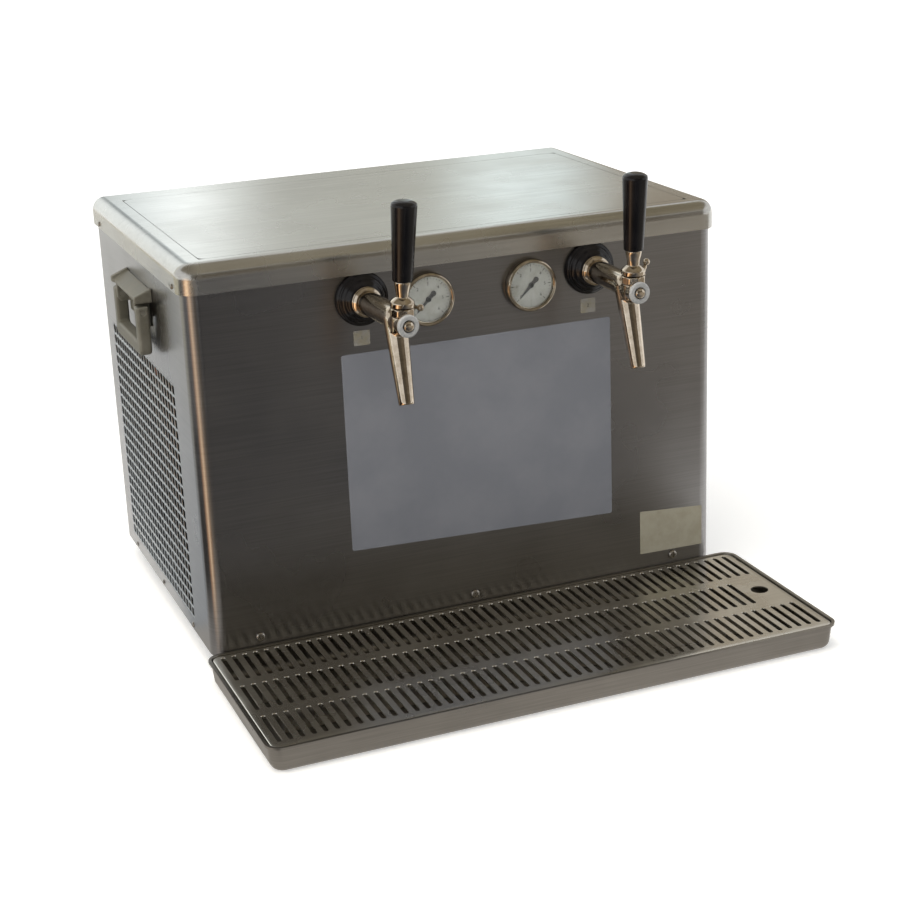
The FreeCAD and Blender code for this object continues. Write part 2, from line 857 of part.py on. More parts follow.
def lid():
    owner = body()
    drawing = sketch(owner, "XY_Plane", RIM)
    wide = "(cabinet_width / 2 + lid_overhang)"
    near = f"({FRONT} - lid_overhang)"
    far = f"({BACK} + lid_rear_overhang)"
    rectangle(drawing, (f"-{wide}", wide), (near, far))
    pad(owner, drawing, "lid_height")
    hollow = sketch(owner, "XY_Plane", RIM)
    wall = "lid_gauge"
    rectangle(
        hollow,
        (f"-{wide} + {wall}", f"{wide} - {wall}"),
        (f"{near} + {wall}", f"{far} - {wall}"),
    )
    pocket(owner, hollow, "lid_height - lid_gauge", backwards=True)
    for layer in (wall, "0"):
        corner = f"corner_radius + lid_overhang - {layer}"
        round_edges(owner, corner, upright_at(f"{near} + {layer}"))
    for layer in (wall, "0"):
        crown = level_at(f"{TOP} - {layer}", except_y=f"{far} - {layer}")
        round_edges(owner, f"lid_edge_radius - {layer}", crown)
    seat = block(
        (f"-{wide} + inset_side", f"{wide} - inset_side"),
        (f"{near} + inset_front", f"{far} - inset_rear"),
        (f"{TOP} - lid_gauge", f"{TOP} + 1"),
    )
    reach = "inset_ledge"
    shelf = block(
        (f"-{wide} + inset_side - 1", f"{wide} - inset_side + 1"),
        (f"{near} + inset_front - 1", f"{far} - inset_rear + 1"),
        (f"{TOP} - 2 * lid_gauge", f"{TOP} - lid_gauge"),
    )
    window = block(
        (f"-{wide} + inset_side + {reach}", f"{wide} - inset_side - {reach}"),
        (f"{near} + inset_front + {reach}", f"{far} - inset_rear - {reach}"),
        (f"{TOP} - 3 * lid_gauge", f"{TOP} + 1"),
    )
    holes = []
    rests = []
    for sign in SIDES.values():
        web = f"{sign} * ({SIDE} - lid_rest_inset)"
        along = ("-lid_rest_length / 2", "lid_rest_length / 2")
        upright_web = ("lid_gauge", f"{TOP} - lid_gauge / 2")
        flat_foot = ("lid_rest_inset", f"{WALL_TOP} + lid_gauge")
        for reach, height in (upright_web, flat_foot):
            ends = sorted((web, f"{web} + {sign} * {reach}"), key=number)
            rests.append(block(ends, along, (WALL_TOP, height)))
        span = (f"{sign} * ({SIDE})", f"{sign} * ({SIDE} + lid_overhang + 2)")
        for y in LID_SCREWS:
            z = f"{RIM} + lid_screw_height"
            ends = sorted(span, key=number)
            holes.append(hole("small_shank_radius", "x", *ends, y=y, z=z))
    keep(cut(fuse(cut(owner, seat), shelf, *rests), window, *holes), "lid_frame")

    panel = body()
    drawing = sketch(panel, "XY_Plane", f"{TOP} - lid_gauge")
    rectangle(
        drawing,
        (f"-{wide} + inset_side + inset_seam", f"{wide} - inset_side - inset_seam"),
        (f"{near} + inset_front + inset_seam", f"{far} - inset_rear - inset_seam"),
    )
    pad(panel, drawing, "lid_gauge")
    round_edges(panel, "inset_corner", upright)
    keep(panel, "lid_top_sheet")


def button_screw(head_radius, head_height, shank_radius, length):
    """A screw along +x: shank in the wall, low round head outside, face at x = 0."""
    head = lathe(
        [
            (f"-({length})", "0"),
            (f"-({length})", shank_radius),
            ("0", shank_radius),
            ("0", head_radius),
            (f"{head_height} / 2", f"{head_radius} * 0.92"),
            (f"{head_height} * 0.85", f"{head_radius} * 0.6"),
            (head_height, f"{head_radius} * 0.25"),
            (head_height, "0"),
        ],
        "z",
    )
    return head


def face_screw(screw, way, x, y, z):
    """Stand a screw on a face that looks the named way."""
    ways = {
        "+x": FreeCAD.Rotation(FreeCAD.Vector(0, 1, 0), 90),
        "-x": FreeCAD.Rotation(FreeCAD.Vector(0, 1, 0), -90),
        "-y": FreeCAD.Rotation(FreeCAD.Vector(1, 0, 0), 90),
        "+y": FreeCAD.Rotation(FreeCAD.Vector(1, 0, 0), -90),
    }
    screw.Placement = FreeCAD.Placement(FreeCAD.Vector(), ways[way])
    move_to(screw, x, y, z)
    return screw


def screws():
    """Small screws through the lid, the sides, the back and from inside into the handles."""
    small = ("small_head_radius", "small_head_height", "small_shank_radius")
    places = []
    for sign in SIDES.values():
        way = "+x" if sign > 0 else "-x"
        inward = "-x" if sign > 0 else "+x"
        for y in LID_SCREWS:
            x = f"{sign} * ({SIDE} + lid_overhang)"
            place = (x, y, f"{RIM} + lid_screw_height")
            places.append((way, "lid_overhang + sheet_gauge + 2", place))
        for y in SIDE_SCREWS:
            place = (f"{sign} * ({SIDE})", y, f"{FLOOR} + side_screw_height")
            places.append((way, "sheet_gauge + fit_gap + pan_gauge + 2", place))
        for y in HANDLE_SCREWS:
            place = (f"{sign} * ({INSIDE})", y, "handle_screw_height")
            places.append((inward, "sheet_gauge + plate_gauge - 0.5", place))
    for x in REAR_SCREWS:
        place = (x, BACK, f"{FLOOR} + front_screw_height")
        places.append(("+y", "sheet_gauge + fit_gap + pan_gauge + 2", place))
    group_of = [face_screw(button_screw(*small, long), way, *at) for way, long, at in places]
    keep(group(*group_of), "small_screws")
    in_front = []
    for x in FRONT_SCREWS:
        one = button_screw("dome_radius", "dome_height", "dome_shank_radius", "screw_length")
        z = f"{FLOOR} + front_screw_height"
        in_front.append(face_screw(one, "-y", x, FRONT, z))
    keep(group(*in_front), "front_screws")


# Taps


def stand_tap(thing, side, tilted=True):
    """Carry a piece from the tap's own frame to its place on the front.

    The left tap is a little twisted on its shank, about the face of its collar.
    """
    place = FreeCAD.Placement()
    if tilted and side == "left":
        swing = FreeCAD.Rotation(FreeCAD.Vector(0, 0, 1), number("left_tap_swing"))
        lean = FreeCAD.Rotation(FreeCAD.Vector(0, 1, 0), number("left_tap_lean"))
        collar_face = FreeCAD.Vector(0, -number("rosette_depth + collar_width"), 0)
        room = number("pipe_radius") * math.sin(math.radians(number("left_tap_swing")))
        back_off = FreeCAD.Vector(0, -room - number("fit_gap") / 3, 0)
        place = FreeCAD.Placement(back_off, swing.multiply(lean), collar_face)
    thing.Placement = place
    shift = place.Base
    move_to(
        thing,
        f"{TAPS[side]} + {shift.x:.6f}",
        f"{FRONT} + {shift.y:.6f}",
        f"tap_height + {shift.z:.6f}",
    )
    return thing


def rosette():
    """A stepped cup with a flat on top that clears the edge of the lid."""
    bore = "(shank_radius + 0.2)"
    rim = "rosette_radius"
    face = "rosette_face_radius"
    deep = "rosette_depth"
    cup = lathe(
        [
            ("0", bore),
            ("0", rim),
            (f"-{deep} * 0.22", rim),
            (f"-{deep} * 0.36", f"{rim} - 1.6"),
            (f"-{deep} * 0.40", f"{rim} - 3.4"),
            (f"-{deep} * 0.58", f"{rim} - 4.0"),
            (f"-{deep} * 0.70", f"{rim} - 6.0"),
            (f"-{deep} * 0.74", f"{rim} - 7.6"),
            (f"-{deep} * 0.92", f"{face} + 1.2"),
            (f"-{deep}", face),
            (f"-{deep}", bore),
        ],
        "y",
    )
    above = block(
        (f"-{rim}", rim),
        (f"-{deep}", "1"),
        (f"{RIM} - fit_gap - tap_height", f"{rim} + 5"),
    )
    return cut(cup, above)


def collar():
    start = "rosette_depth"
    wide = "collar_width"
    return lathe(
        [
            (f"-{start}", "shank_radius + 0.2"),
            (f"-{start}", "collar_radius - 0.8"),
            (f"-{start} - 0.8", "collar_radius"),
            (f"-{start} - {wide} * 0.6", "collar_radius"),
            (f"-{start} - {wide}", "pipe_radius + 0.8"),
            (f"-{start} - {wide}", "shank_radius + 0.2"),
        ],
        "y",
    )


def shank():
    bar = rod("shank_radius", "y", "-shank_outside", "shank_inside")
    return cut(bar, rod("shank_bore", "y", "-shank_outside - 1", "shank_inside + 1"))


def shank_nut():
    start = "(sheet_gauge + shank_washer_width)"
    nut = doc.addObject("Part::Prism", "hexagon")
    nut.Polygon = 6
    bind(nut, "Circumradius", "shank_nut_radius")
    bind(nut, "Height", "shank_nut_width")
    nut.Placement = FreeCAD.Placement(FreeCAD.Vector(), turn_to("y"))
    move_to(nut, "0", start, "0")
    washer = rod("shank_nut_radius + 1", "y", "sheet_gauge", start)
    through = rod("shank_radius + 0.1", "y", "0", f"{start} + shank_nut_width + 1")
    return cut(fuse(nut, washer), through)


def tap_body():
    pipe_start = "-(rosette_depth + collar_width)"
    pipe = doc.addObject("Part::Cone", "pipe")
    bind(pipe, "Radius1", "elbow_radius")
    bind(pipe, "Radius2", "pipe_radius")
    bind(pipe, "Height", f"elbow_reach + {pipe_start}")
    pipe.Placement = FreeCAD.Placement(FreeCAD.Vector(), turn_to("y"))
    move_to(pipe, "0", "-elbow_reach", "0")
    elbow = ball("elbow_radius", y="-elbow_reach")
    spout = doc.addObject("Part::Cone", "spout")
    bind(spout, "Radius1", "elbow_radius")
    bind(spout, "Radius2", "spout_tip_radius")
    bind(spout, "Height", "spout_length")
    channel = doc.addObject("Part::Cylinder", "channel")
    bind(channel, "Radius", "spout_bore")
    bind(channel, "Height", "spout_length + 1")
    down = 180 - number("spout_lean")
    for thing in (spout, channel):
        along = FreeCAD.Rotation(FreeCAD.Vector(1, 0, 0), down)
        thing.Placement = FreeCAD.Placement(FreeCAD.Vector(), along)
        move_to(thing, "0", "-elbow_reach", "0")
    head = rod("head_radius", "z", "head_bottom", "head_top", y="-head_reach")
    knuckle = ball("head_radius", y="-head_reach + 2", z="-valve_drop - 2")
    link = rod("head_radius", "y", "-head_reach", "-elbow_reach", z="-valve_drop")
    boss = rod("boss_radius", "y", "-boss_reach", "-head_reach", z="-valve_drop")
    lug_end = "flow_hub_start - fit_gap"
    lug = rod("flow_hub_radius + 0.6", "x", "0", lug_end, y="-flow_reach", z="flow_height")
    outside = fuse(pipe, elbow, spout, head, knuckle, link, boss, lug)
    bores = [
        channel,
        rod("shank_radius + 0.9", "y", "-shank_outside - 1", pipe_start),
        rod("shank_bore", "y", "-chamber_back", "-shank_outside"),
        rod(
            "piston_radius + running_gap",
            "y",
            "-boss_reach + 1.5",
            "-chamber_back",
            z="-valve_drop",
        ),
        rod("piston_radius", "z", "-valve_drop", "head_top - neck_height", y="-head_reach"),
        rod("neck_radius", "z", "0", "head_top + 1", y="-head_reach"),
        rod("knob_radius - 1.2", "y", "-boss_reach - 1", "-boss_reach + 2", z="-valve_drop"),
        rod(
            "flow_hub_radius - 1.2 + running_gap",
            "x",
            "flow_hub_start - flow_pin_length - 0.5",
            "flow_hub_start + 1",
            y="-flow_reach",
            z="flow_height",
        ),
        rod(
            "union_radius + fit_gap",
            "z",
            "head_top",
            "head_top + union_height + 10",
            y="-head_reach",
        ),
    ]
    return cut(outside, *bores)


def union_nut():
    low = "head_top"
    high = "(head_top + union_height)"
    turned = lathe(
        [
            (low, "ball_radius + ball_gap"),
            (low, "union_radius - 0.7"),
            (f"{low} + 1", "union_radius"),
            (f"{high} - 1", "union_radius"),
            (high, "union_radius - 0.7"),
            (high, "union_mouth"),
            (f"{high} - 2.4", "ball_radius + ball_gap"),
        ],
        "z",
    )
    flats = doc.addObject("Part::Prism", "flats")
    flats.Polygon = 8
    bind(flats, "Circumradius", "union_radius * 1.06")
    bind(flats, "Height", "union_height")
    move_to(flats, "0", "0", "head_top")
    return common(turned, flats)


def tap_lever():
    """Ball, finger and stem with the domed cap and the ferrule, about its own pivot."""
    crown = "cap_inner_radius"
    low = "cap_bottom - pivot_height"
    shoulder = "cap_shoulder - pivot_height"
    high = "cap_top - pivot_height"
    grip = "grip_bottom - pivot_height"
    outline = lathe(
        [
            (low, "0"),
            (low, "cap_radius"),
            (shoulder, "cap_radius"),
            (f"{shoulder} + 1.4", "cap_radius - 1.4"),
            (high, "ferrule_bottom_radius + 0.8"),
            (high, "ferrule_bottom_radius"),
            (f"{grip} - 2", "ferrule_top_radius"),
            (grip, "ferrule_top_radius"),
            (grip, "grip_bore"),
            (f"{grip} + grip_bore_depth - 1", "grip_bore"),
            (f"{grip} + grip_bore_depth - 1", "0"),
        ],
        "z",
    )
    cap = cut(outline, ball(crown))
    stem = rod("stem_radius", "z", "0", high)
    finger = rod("finger_radius", "z", "-finger_length", "0")
    return fuse(cap, stem, ball("ball_radius"), finger)


def lever_grip():
    low = "(grip_bottom - pivot_height)"
    high = "(grip_bottom - pivot_height + grip_length)"
    return lathe(
        [
            (low, "grip_bore + 0.05"),
            (low, "grip_bottom_radius"),
            (f"{high} - grip_bevel", "grip_top_radius"),
            (high, "grip_top_radius - grip_bevel"),
            (f"{high} + grip_dome", "grip_top_radius - 2 * grip_bevel"),
            (f"{high} + grip_dome", "0"),
            (f"{low} + grip_bore_depth", "0"),
            (f"{low} + grip_bore_depth", "grip_bore + 0.05"),
        ],
        "z",
    )


def lever_place():
    """Where the lever's own frame lies in the tap's: at the ball, leaning to the user."""
    lean = FreeCAD.Rotation(FreeCAD.Vector(1, 0, 0), number("lever_lean"))
    base = FreeCAD.Vector(0, -number("head_reach"), number("pivot_height"))
    return FreeCAD.Placement(base, lean)


def piston():
    bar = rod("piston_radius", "y", "-piston_front", "-piston_back", z="-valve_drop")
    upper = "(-valve_drop + 1.5)"
    wide = block(
        ("-piston_radius - 1", "piston_radius + 1"),
        ("-head_reach - slot_wide_half", "-head_reach + slot_wide_half"),
        (upper, "piston_radius"),
    )
    narrow = block(
        ("-finger_radius - 0.4", "finger_radius + 0.4"),
        ("-head_reach - slot_half", "-head_reach + slot_half"),
        ("-valve_drop - 3.4", f"{upper} + 1"),
    )
    waist = rod("piston_radius + 1", "y", "-head_reach + 9", "-piston_back - 6", z="-valve_drop")
    core = rod("piston_radius - 2", "y", "-head_reach + 8", "-piston_back - 5", z="-valve_drop")
    return cut(bar, wide, narrow, cut(waist, core))


def front_ring():
    ring = rod("ring_radius", "y", "-boss_reach - ring_width", "-boss_reach", z="-valve_drop")
    return cut(
        ring,
        rod("ring_bore", "y", "-boss_reach - ring_width - 1", "-boss_reach + 1", z="-valve_drop"),
    )


def valve_dome():
    plug = lathe(
        [
            ("-boss_reach + 1.4", "0"),
            ("-boss_reach + 1.4", "knob_radius - 1.25"),
            ("-boss_reach", "knob_radius - 1.25"),
            ("-boss_reach", "knob_radius"),
            ("-boss_reach - knob_width * 0.7", "knob_radius"),
            ("-boss_reach - knob_width * 0.9", "knob_radius * 0.8"),
            ("-boss_reach - knob_width", "knob_radius * 0.45"),
            ("-boss_reach - knob_width", "0"),
        ],
        "y",
    )
    holder = group(plug)
    lower(plug)
    return holder


def lower(thing):
    """Drop a piece turned about the shank axis to the valve's own axis."""
    move_to(thing, "0", "0", "-valve_drop")


def flow_lever(angle):
    """Cross pin with a bent arm and a ball end, turned forward by an angle."""
    hub = rod("flow_hub_radius", "x", "flow_hub_start", "flow_hub_end")
    pin = rod("flow_hub_radius - 1.2", "x", "flow_hub_start - flow_pin_length", "flow_hub_start")
    arm = rod("flow_arm_radius", "z", "0", "flow_arm_length", x="flow_hub_end - 1.6")
    end = ball("flow_ball_radius", x="flow_hub_end - 1.6", z="flow_arm_length")
    lever = fuse(hub, pin, arm, end)
    spin = FreeCAD.Rotation(FreeCAD.Vector(1, 0, 0), number(angle))
    lever.Placement = FreeCAD.Placement(FreeCAD.Vector(), spin)
    move_to(lever, "0", "-flow_reach", "flow_height")
    return lever


def placed_copy(thing, side, inner=None):
    """Stand a piece on its tap, by way of its place in the tap's own frame."""
    if inner is not None:
        thing.Placement = inner
        thing = group(thing)
    return stand_tap(thing, side)


def taps():
    shared = {"tap_collars": [], "tap_shanks": [], "shank_nuts": [], "union_nuts": []}
    shared.update({"front_rings": [], "valve_domes": []})
    for side in TAPS:
        keep(stand_tap(rosette(), side, tilted=False), f"{side}_rosette")
        keep(stand_tap(tap_body(), side), f"{side}_tap_body")
        rest = lever_place()
        keep(placed_copy(tap_lever(), side, rest), f"{side}_tap_lever")
        keep(placed_copy(lever_grip(), side, rest), f"{side}_lever_grip")
        keep(stand_tap(piston(), side), f"{side}_tap_piston")
        arm = group(flow_lever(f"{side}_flow_angle"))
        keep(stand_tap(arm, side), f"{side}_flow_lever")
        shared["tap_collars"].append(stand_tap(collar(), side, tilted=False))
        shared["tap_shanks"].append(stand_tap(shank(), side, tilted=False))
        shared["shank_nuts"].append(stand_tap(shank_nut(), side, tilted=False))
        union = union_nut()
        move_to(union, "0", "-head_reach", "0")
        shared["union_nuts"].append(stand_tap(group(union), side))
        shared["front_rings"].append(stand_tap(front_ring(), side))
        shared["valve_domes"].append(stand_tap(valve_dome(), side))
    for label, pieces in shared.items():
        keep(group(*pieces), label)


# Gas gauges, turned about their own axes with the panel face at y = 0


def stand_gauge(thing, side):
    move_to(thing, GAUGES[side], FRONT, "gauge_height")
    return thing


def gauge_case():
    wall = "gauge_wall"
    back = "gauge_case_depth"
    return lathe(
        [
            ("-lens_depth + lens_gauge", f"gauge_case_radius - {wall}"),
            ("-lens_depth + lens_gauge", "gauge_case_radius"),
            (f"{back}", "gauge_case_radius"),
            (f"{back}", "gauge_stem_radius"),
            (f"{back} + gauge_stem_length", "gauge_stem_radius"),
            (f"{back} + gauge_stem_length", "0"),
            (f"{back} - {wall}", "0"),
            (f"{back} - {wall}", "pointer_hub * 2"),
            ("-dial_depth", "pointer_hub * 2"),
            ("-dial_depth", "pointer_hub * 3"),
            (f"{back} - {wall}", "pointer_hub * 3"),
            (f"{back} - {wall}", f"gauge_case_radius - {wall}"),
        ],
        "y",
    )


def gauge_bezel():
    return lathe(
        [
            ("0", "gauge_case_radius + 0.1"),
            ("0", "bezel_radius - 0.6"),
            ("-1.2", "bezel_radius"),
            ("-bezel_depth + 2.2", "bezel_radius"),
            ("-bezel_depth + 0.5", "bezel_radius - 0.8"),
            ("-bezel_depth", "bezel_radius - 2.0"),
            ("-bezel_depth", "bezel_face_radius + 0.6"),
            ("-bezel_depth + 0.5", "bezel_face_radius"),
            ("-lens_depth", "bezel_face_radius"),
            ("-lens_depth", "gauge_case_radius + 0.1"),
        ],
        "y",
    )


def gauge_dial():
    face = rod("dial_radius - 0.1", "y", "-dial_depth - dial_gauge", "-dial_depth")
    return cut(face, rod("pointer_pin + 0.3", "y", "-dial_depth - 2", "1"))


def gauge_lens():
    """Held between the front of the case and the lip of the bezel."""
    return group(rod("gauge_case_radius", "y", "-lens_depth", "-lens_depth + lens_gauge"))


def gauge_pointer():
    """Tapered needle with a round tail, on the pin that turns it; zero points up."""
    owner = body()
    plane = "pointer_height"
    thick = "pointer_gauge"
    slab(
        owner,
        "XZ_Plane",
        plane,
        [
            ("-1.1", "0"),
            ("1.1", "0"),
            ("0.35", "pointer_length"),
            ("-0.35", "pointer_length"),
        ],
        thick,
    )
    slab(
        owner,
        "XZ_Plane",
        plane,
        [
            ("-0.9", "0.5"),
            ("-1.3", "-pointer_tail"),
            ("1.3", "-pointer_tail"),
            ("0.9", "0.5"),
        ],
        thick,
    )
    for radius, height in (("pointer_hub", "0"), ("pointer_hub * 0.9", "-pointer_tail")):
        drawing = sketch(owner, "XZ_Plane", plane)
        circle(drawing, "0", height, radius)
        pad(owner, drawing, thick)
    pin = sketch(owner, "XZ_Plane", "dial_depth + 0.1")
    circle(pin, "0", "0", "pointer_pin")
    pad(owner, pin, "pointer_height - dial_depth")
    return owner


def gauges():
    shared = {"gauge_bezels": [], "gauge_dials": [], "gauge_lenses": []}
    for side in GAUGES:
        keep(stand_gauge(gauge_case(), side), f"{side}_gauge_case")
        pointer = gauge_pointer()
        spin = FreeCAD.Rotation(FreeCAD.Vector(0, 1, 0), number("pointer_rest"))
        pointer.Placement = FreeCAD.Placement(FreeCAD.Vector(), spin)
        keep(stand_gauge(pointer, side), f"{side}_gauge_pointer")
        shared["gauge_bezels"].append(stand_gauge(gauge_bezel(), side))
        shared["gauge_dials"].append(stand_gauge(gauge_dial(), side))
        shared["gauge_lenses"].append(stand_gauge(gauge_lens(), side))
    for label, pieces in shared.items():
        keep(group(*pieces), label)


# Drip tray and its grid


def tray_outline(inset):
    """The rim's rectangle, drawn in by an expression on every side."""
    return (
        (f"-tray_left + ({inset})", f"tray_right - ({inset})"),
        (
            f"{FRONT} - tray_reach + ({inset})",
            f"{FRONT} - tray_panel_gap - ({inset})",
        ),
    )


def drip_tray():
    owner = body()
    lip = "tray_lip"
    rim_sketch = sketch(owner, "XY_Plane", "tray_height")
    rectangle(rim_sketch, *tray_outline(lip))
    base_sketch = sketch(owner, "XY_Plane")
    rectangle(base_sketch, *tray_outline(f"{lip} + tray_draft"))
    shell = owner.newObject("PartDesign::AdditiveLoft", "loft")
    shell.Profile = rim_sketch
    shell.Sections = [base_sketch]
    rim_under = "tray_height - tray_lip_depth"
    rim = sketch(owner, "XY_Plane", rim_under)
    rectangle(rim, *tray_outline("0"))
    pad(owner, rim, "tray_lip_depth")
    inner_rim = sketch(owner, "XY_Plane", "tray_height")
    rectangle(inner_rim, *tray_outline(f"{lip} + tray_gauge"))
    inner_base = sketch(owner, "XY_Plane", "tray_gauge")
    rectangle(inner_base, *tray_outline(f"{lip} + tray_draft + tray_gauge"))
    hollow = owner.newObject("PartDesign::SubtractiveLoft", "hollow")
    hollow.Profile = inner_rim
    hollow.Sections = [inner_base]
    corners = {
        "tray_gauge": "tray_corner - tray_gauge",
        "0": "tray_corner",
        rim_under: f"tray_corner + {lip}",
    }
    for foot, radius in corners.items():
        low = number(foot)
        wall = lambda edge: upright(edge) and is_near(edge.BoundBox.ZMin, low)
        round_edges(owner, radius, wall)
    for layer in ("tray_gauge", "0"):
        round_edges(owner, f"tray_bend - {layer}", level_at(layer))
    keep(owner, "drip_tray")


def drip_grid():
    owner = body()
    top = "(tray_height - grid_drop)"
    plate = sketch(owner, "XY_Plane", f"{top} - grid_gauge")
    inner = "(tray_lip + tray_gauge)"
    wide = (f"-tray_left + {inner} + grid_end_gap", f"tray_right - {inner} - grid_end_gap")
    deep = (
        f"{FRONT} - tray_reach + {inner} + grid_end_gap",
        f"{FRONT} - tray_panel_gap - {inner} - grid_end_gap",
    )
    rectangle(plate, wide, deep)
    pad(owner, plate, "grid_gauge")
    fold = sketch(owner, "XY_Plane", f"{top} - grid_fold")
    rectangle(fold, wide, deep)
    edge = "grid_gauge"
    rectangle(
        fold,
        (f"{wide[0]} + {edge}", f"{wide[1]} - {edge}"),
        (f"{deep[0]} + {edge}", f"{deep[1]} - {edge}"),
    )
    pad(owner, fold, "grid_fold - grid_gauge / 2")
    for layer in (edge, "0"):
        ends = [number(f"{wide[0]} + {layer}"), number(f"{wide[1]} - {layer}")]
        corner = lambda edge: upright(edge) and any(is_near(edge.BoundBox.XMin, x) for x in ends)
        round_edges(owner, f"tray_corner - tray_gauge - {layer}", corner)
    for line in (1, 2):
        row_start = f"{FRONT} - slot_first_y - slot_row_pitch * {line}"
        y = f"({row_start} + (slot_row_pitch - slot_length) / 2)"
        foot = sketch(owner, "XY_Plane", "tray_gauge + 0.1")
        rectangle(
            foot,
            (f"{wide[0]} + grid_foot_end", f"{wide[1]} - grid_foot_end"),
            (f"{y} - grid_foot_width / 2", f"{y} + grid_foot_width / 2"),
        )
        pad(owner, foot, f"{top} - grid_gauge / 2 - tray_gauge - 0.1")
    for row, count in enumerate(("slot_count", "slot_middle_count", "slot_count")):
        drawing = sketch(owner, "XY_Plane", top)
        start = f"{FRONT} - slot_first_y - slot_row_pitch * {row}"
        slot_outline(drawing, "slot_first_x", start)
        first = pocket(owner, drawing, "grid_gauge")
        line_pattern(owner, drawing, ("H_Axis", "slot_pitch", count), first)
    finger = sketch(owner, "XY_Plane", top)
    middle = f"{FRONT} - slot_first_y - slot_row_pitch - slot_length / 2"
    circle(finger, "grid_hole_x", middle, "grid_hole_radius")
    pocket(owner, finger, "grid_gauge")
    keep(owner, "drip_grid")


def slot_outline(drawing, x, start):
    """One slot with round ends, running towards the user from its first end."""
    half = "slot_width / 2"
    left, right = f"{x} - {half}", f"{x} + {half}"
    high, low = f"{start} - {half}", f"{start} - slot_length + {half}"
    up = FreeCAD.Vector(0, 0, 1)
    radius = number(half)
    ends = []
    for middle, turn in ((high, 0), (low, math.pi)):
        centre = FreeCAD.Vector(number(x), number(middle), 0)
        arc = Part.ArcOfCircle(Part.Circle(centre, up, radius), turn, turn + math.pi)
        ends.append(drawing.addGeometry(arc))
    sides = []
    for column, a, b in ((left, high, low), (right, low, high)):
        first = FreeCAD.Vector(number(column), number(a), 0)
        last = FreeCAD.Vector(number(column), number(b), 0)
        sides.append(drawing.addGeometry(Part.LineSegment(first, last)))
    joints = [
        (ends[0], 2, sides[0], 1),
        (sides[0], 2, ends[1], 1),
        (ends[1], 2, sides[1], 1),
        (sides[1], 2, ends[0], 1),
    ]
    for joint in joints:
        drawing.addConstraint(Sketcher.Constraint("Tangent", *joint))
    rule = drawing.addConstraint(Sketcher.Constraint("Radius", ends[0], radius))
    bind(drawing, f"Constraints[{rule}]", half)
    pin_point(drawing, ends[0], 3, x, high)
    pin_point(drawing, ends[1], 3, x, low)


# Carry handles: a fixed hood on the side panel and a bail that swings out of it


def outward(sign, reach):
    return f"{sign} * ({SIDE} + {reach})"


def handle_base(side, sign):
    owner = body()
    cheek = [
        (outward(sign, "0"), "handle_top"),
        (outward(sign, "hood_reach"), "hood_outer_top"),
        (outward(sign, "hood_reach"), "hood_bottom"),
        (outward(sign, "0"), "hood_bottom"),
    ]
    for start in ("-handle_half", "handle_half - hood_cheek"):
        slab(owner, "XZ_Plane", f"-({start} + hood_cheek)", cheek, "hood_cheek")
    scoop = [
        (outward(sign, "0"), "hood_scoop_top"),
        (outward(sign, "hood_scoop_reach"), "hood_bottom + hood_lip_height - 3"),
        (outward(sign, "hood_scoop_reach"), "hood_bottom - 1"),
        (outward(sign, "0"), "hood_bottom - 1"),
    ]
    slab(owner, "XZ_Plane", "-handle_half + 1", scoop, "2 * handle_half - 2")
    plate = [
        (outward(sign, "0"), "hood_bottom"),
        (outward(sign, "plate_gauge"), "hood_bottom"),
        (outward(sign, "plate_gauge"), "ear_bottom - 10"),
        (outward(sign, "0"), "ear_bottom - 10"),
    ]
    slab(owner, "XZ_Plane", "-ear_outer", plate, "2 * ear_outer")
    ear = [
        (outward(sign, "0"), "hood_bottom"),
        (outward(sign, "bail_front - 1"), "hood_bottom"),
        (outward(sign, "bail_front - 1"), "bail_pivot - 3"),
        (outward(sign, "bail_front - 4"), "ear_bottom"),
        (outward(sign, "0"), "ear_bottom"),
    ]
    for start in ("-ear_outer", "ear_inner"):
        slab(owner, "XZ_Plane", f"-({start} + ear_outer - ear_inner)", ear, "ear_outer - ear_inner")
    bore = rod(
        "bail_pin_radius + 0.02",
        "y",
        "-ear_outer - 1",
        "ear_outer + 1",
        x=outward(sign, "(bail_back + bail_front) / 2"),
        z="bail_pivot",
    )
    blind = f"{SIDE} + plate_gauge - 0.5"
    ends = sorted((f"{sign} * ({SIDE} - 1)", f"{sign} * ({blind})"), key=number)
    screw_holes = [
        hole("small_shank_radius", "x", *ends, y=y, z="handle_screw_height")
        for y in HANDLE_SCREWS
    ]
    keep(cut(owner, bore, *screw_holes), f"{side}_handle_base")


def handle_bail(side, sign):
    owner = body()
    start = f"{SIDE} + bail_back" if sign > 0 else f"-({SIDE} + bail_front)"
    drawing = sketch(owner, "YZ_Plane", start)
    arm = "(handle_half - 0.2)"
    polygon(
        drawing,
        [
            (f"-{arm}", "bail_bottom"),
            (arm, "bail_bottom"),
            (arm, "bail_top"),
            ("bail_inner", "bail_top"),
            ("bail_inner", "bail_bottom + bail_bar"),
            ("-bail_inner", "bail_bottom + bail_bar"),
            ("-bail_inner", "bail_top"),
            (f"-{arm}", "bail_top"),
        ],
    )
    pad(owner, drawing, "bail_front - bail_back")
    low = number("bail_bottom")
    thick = number("bail_front - bail_back")
    outer = lambda edge: is_near(edge.BoundBox.ZMax, low) and edge.BoundBox.YLength < 0.01
    round_edges(owner, "bail_corner", outer)
    bar_top = number("bail_bottom + bail_bar")
    inner = lambda edge: is_near(edge.BoundBox.ZMax, bar_top) and edge.BoundBox.YLength < 0.01
    round_edges(owner, "bail_corner / 2", inner)
    long_ones = lambda edge: edge.BoundBox.XLength < 0.01 and edge.Length > 1
    round_edges(owner, "bail_edge", long_ones)
    bore = rod(
        "bail_pin_radius + running_gap",
        "y",
        f"-{arm} - 1",
        f"{arm} + 1",
        x=outward(sign, "(bail_back + bail_front) / 2"),
        z="bail_pivot",
    )
    keep(cut(owner, bore), f"{side}_handle_bail")


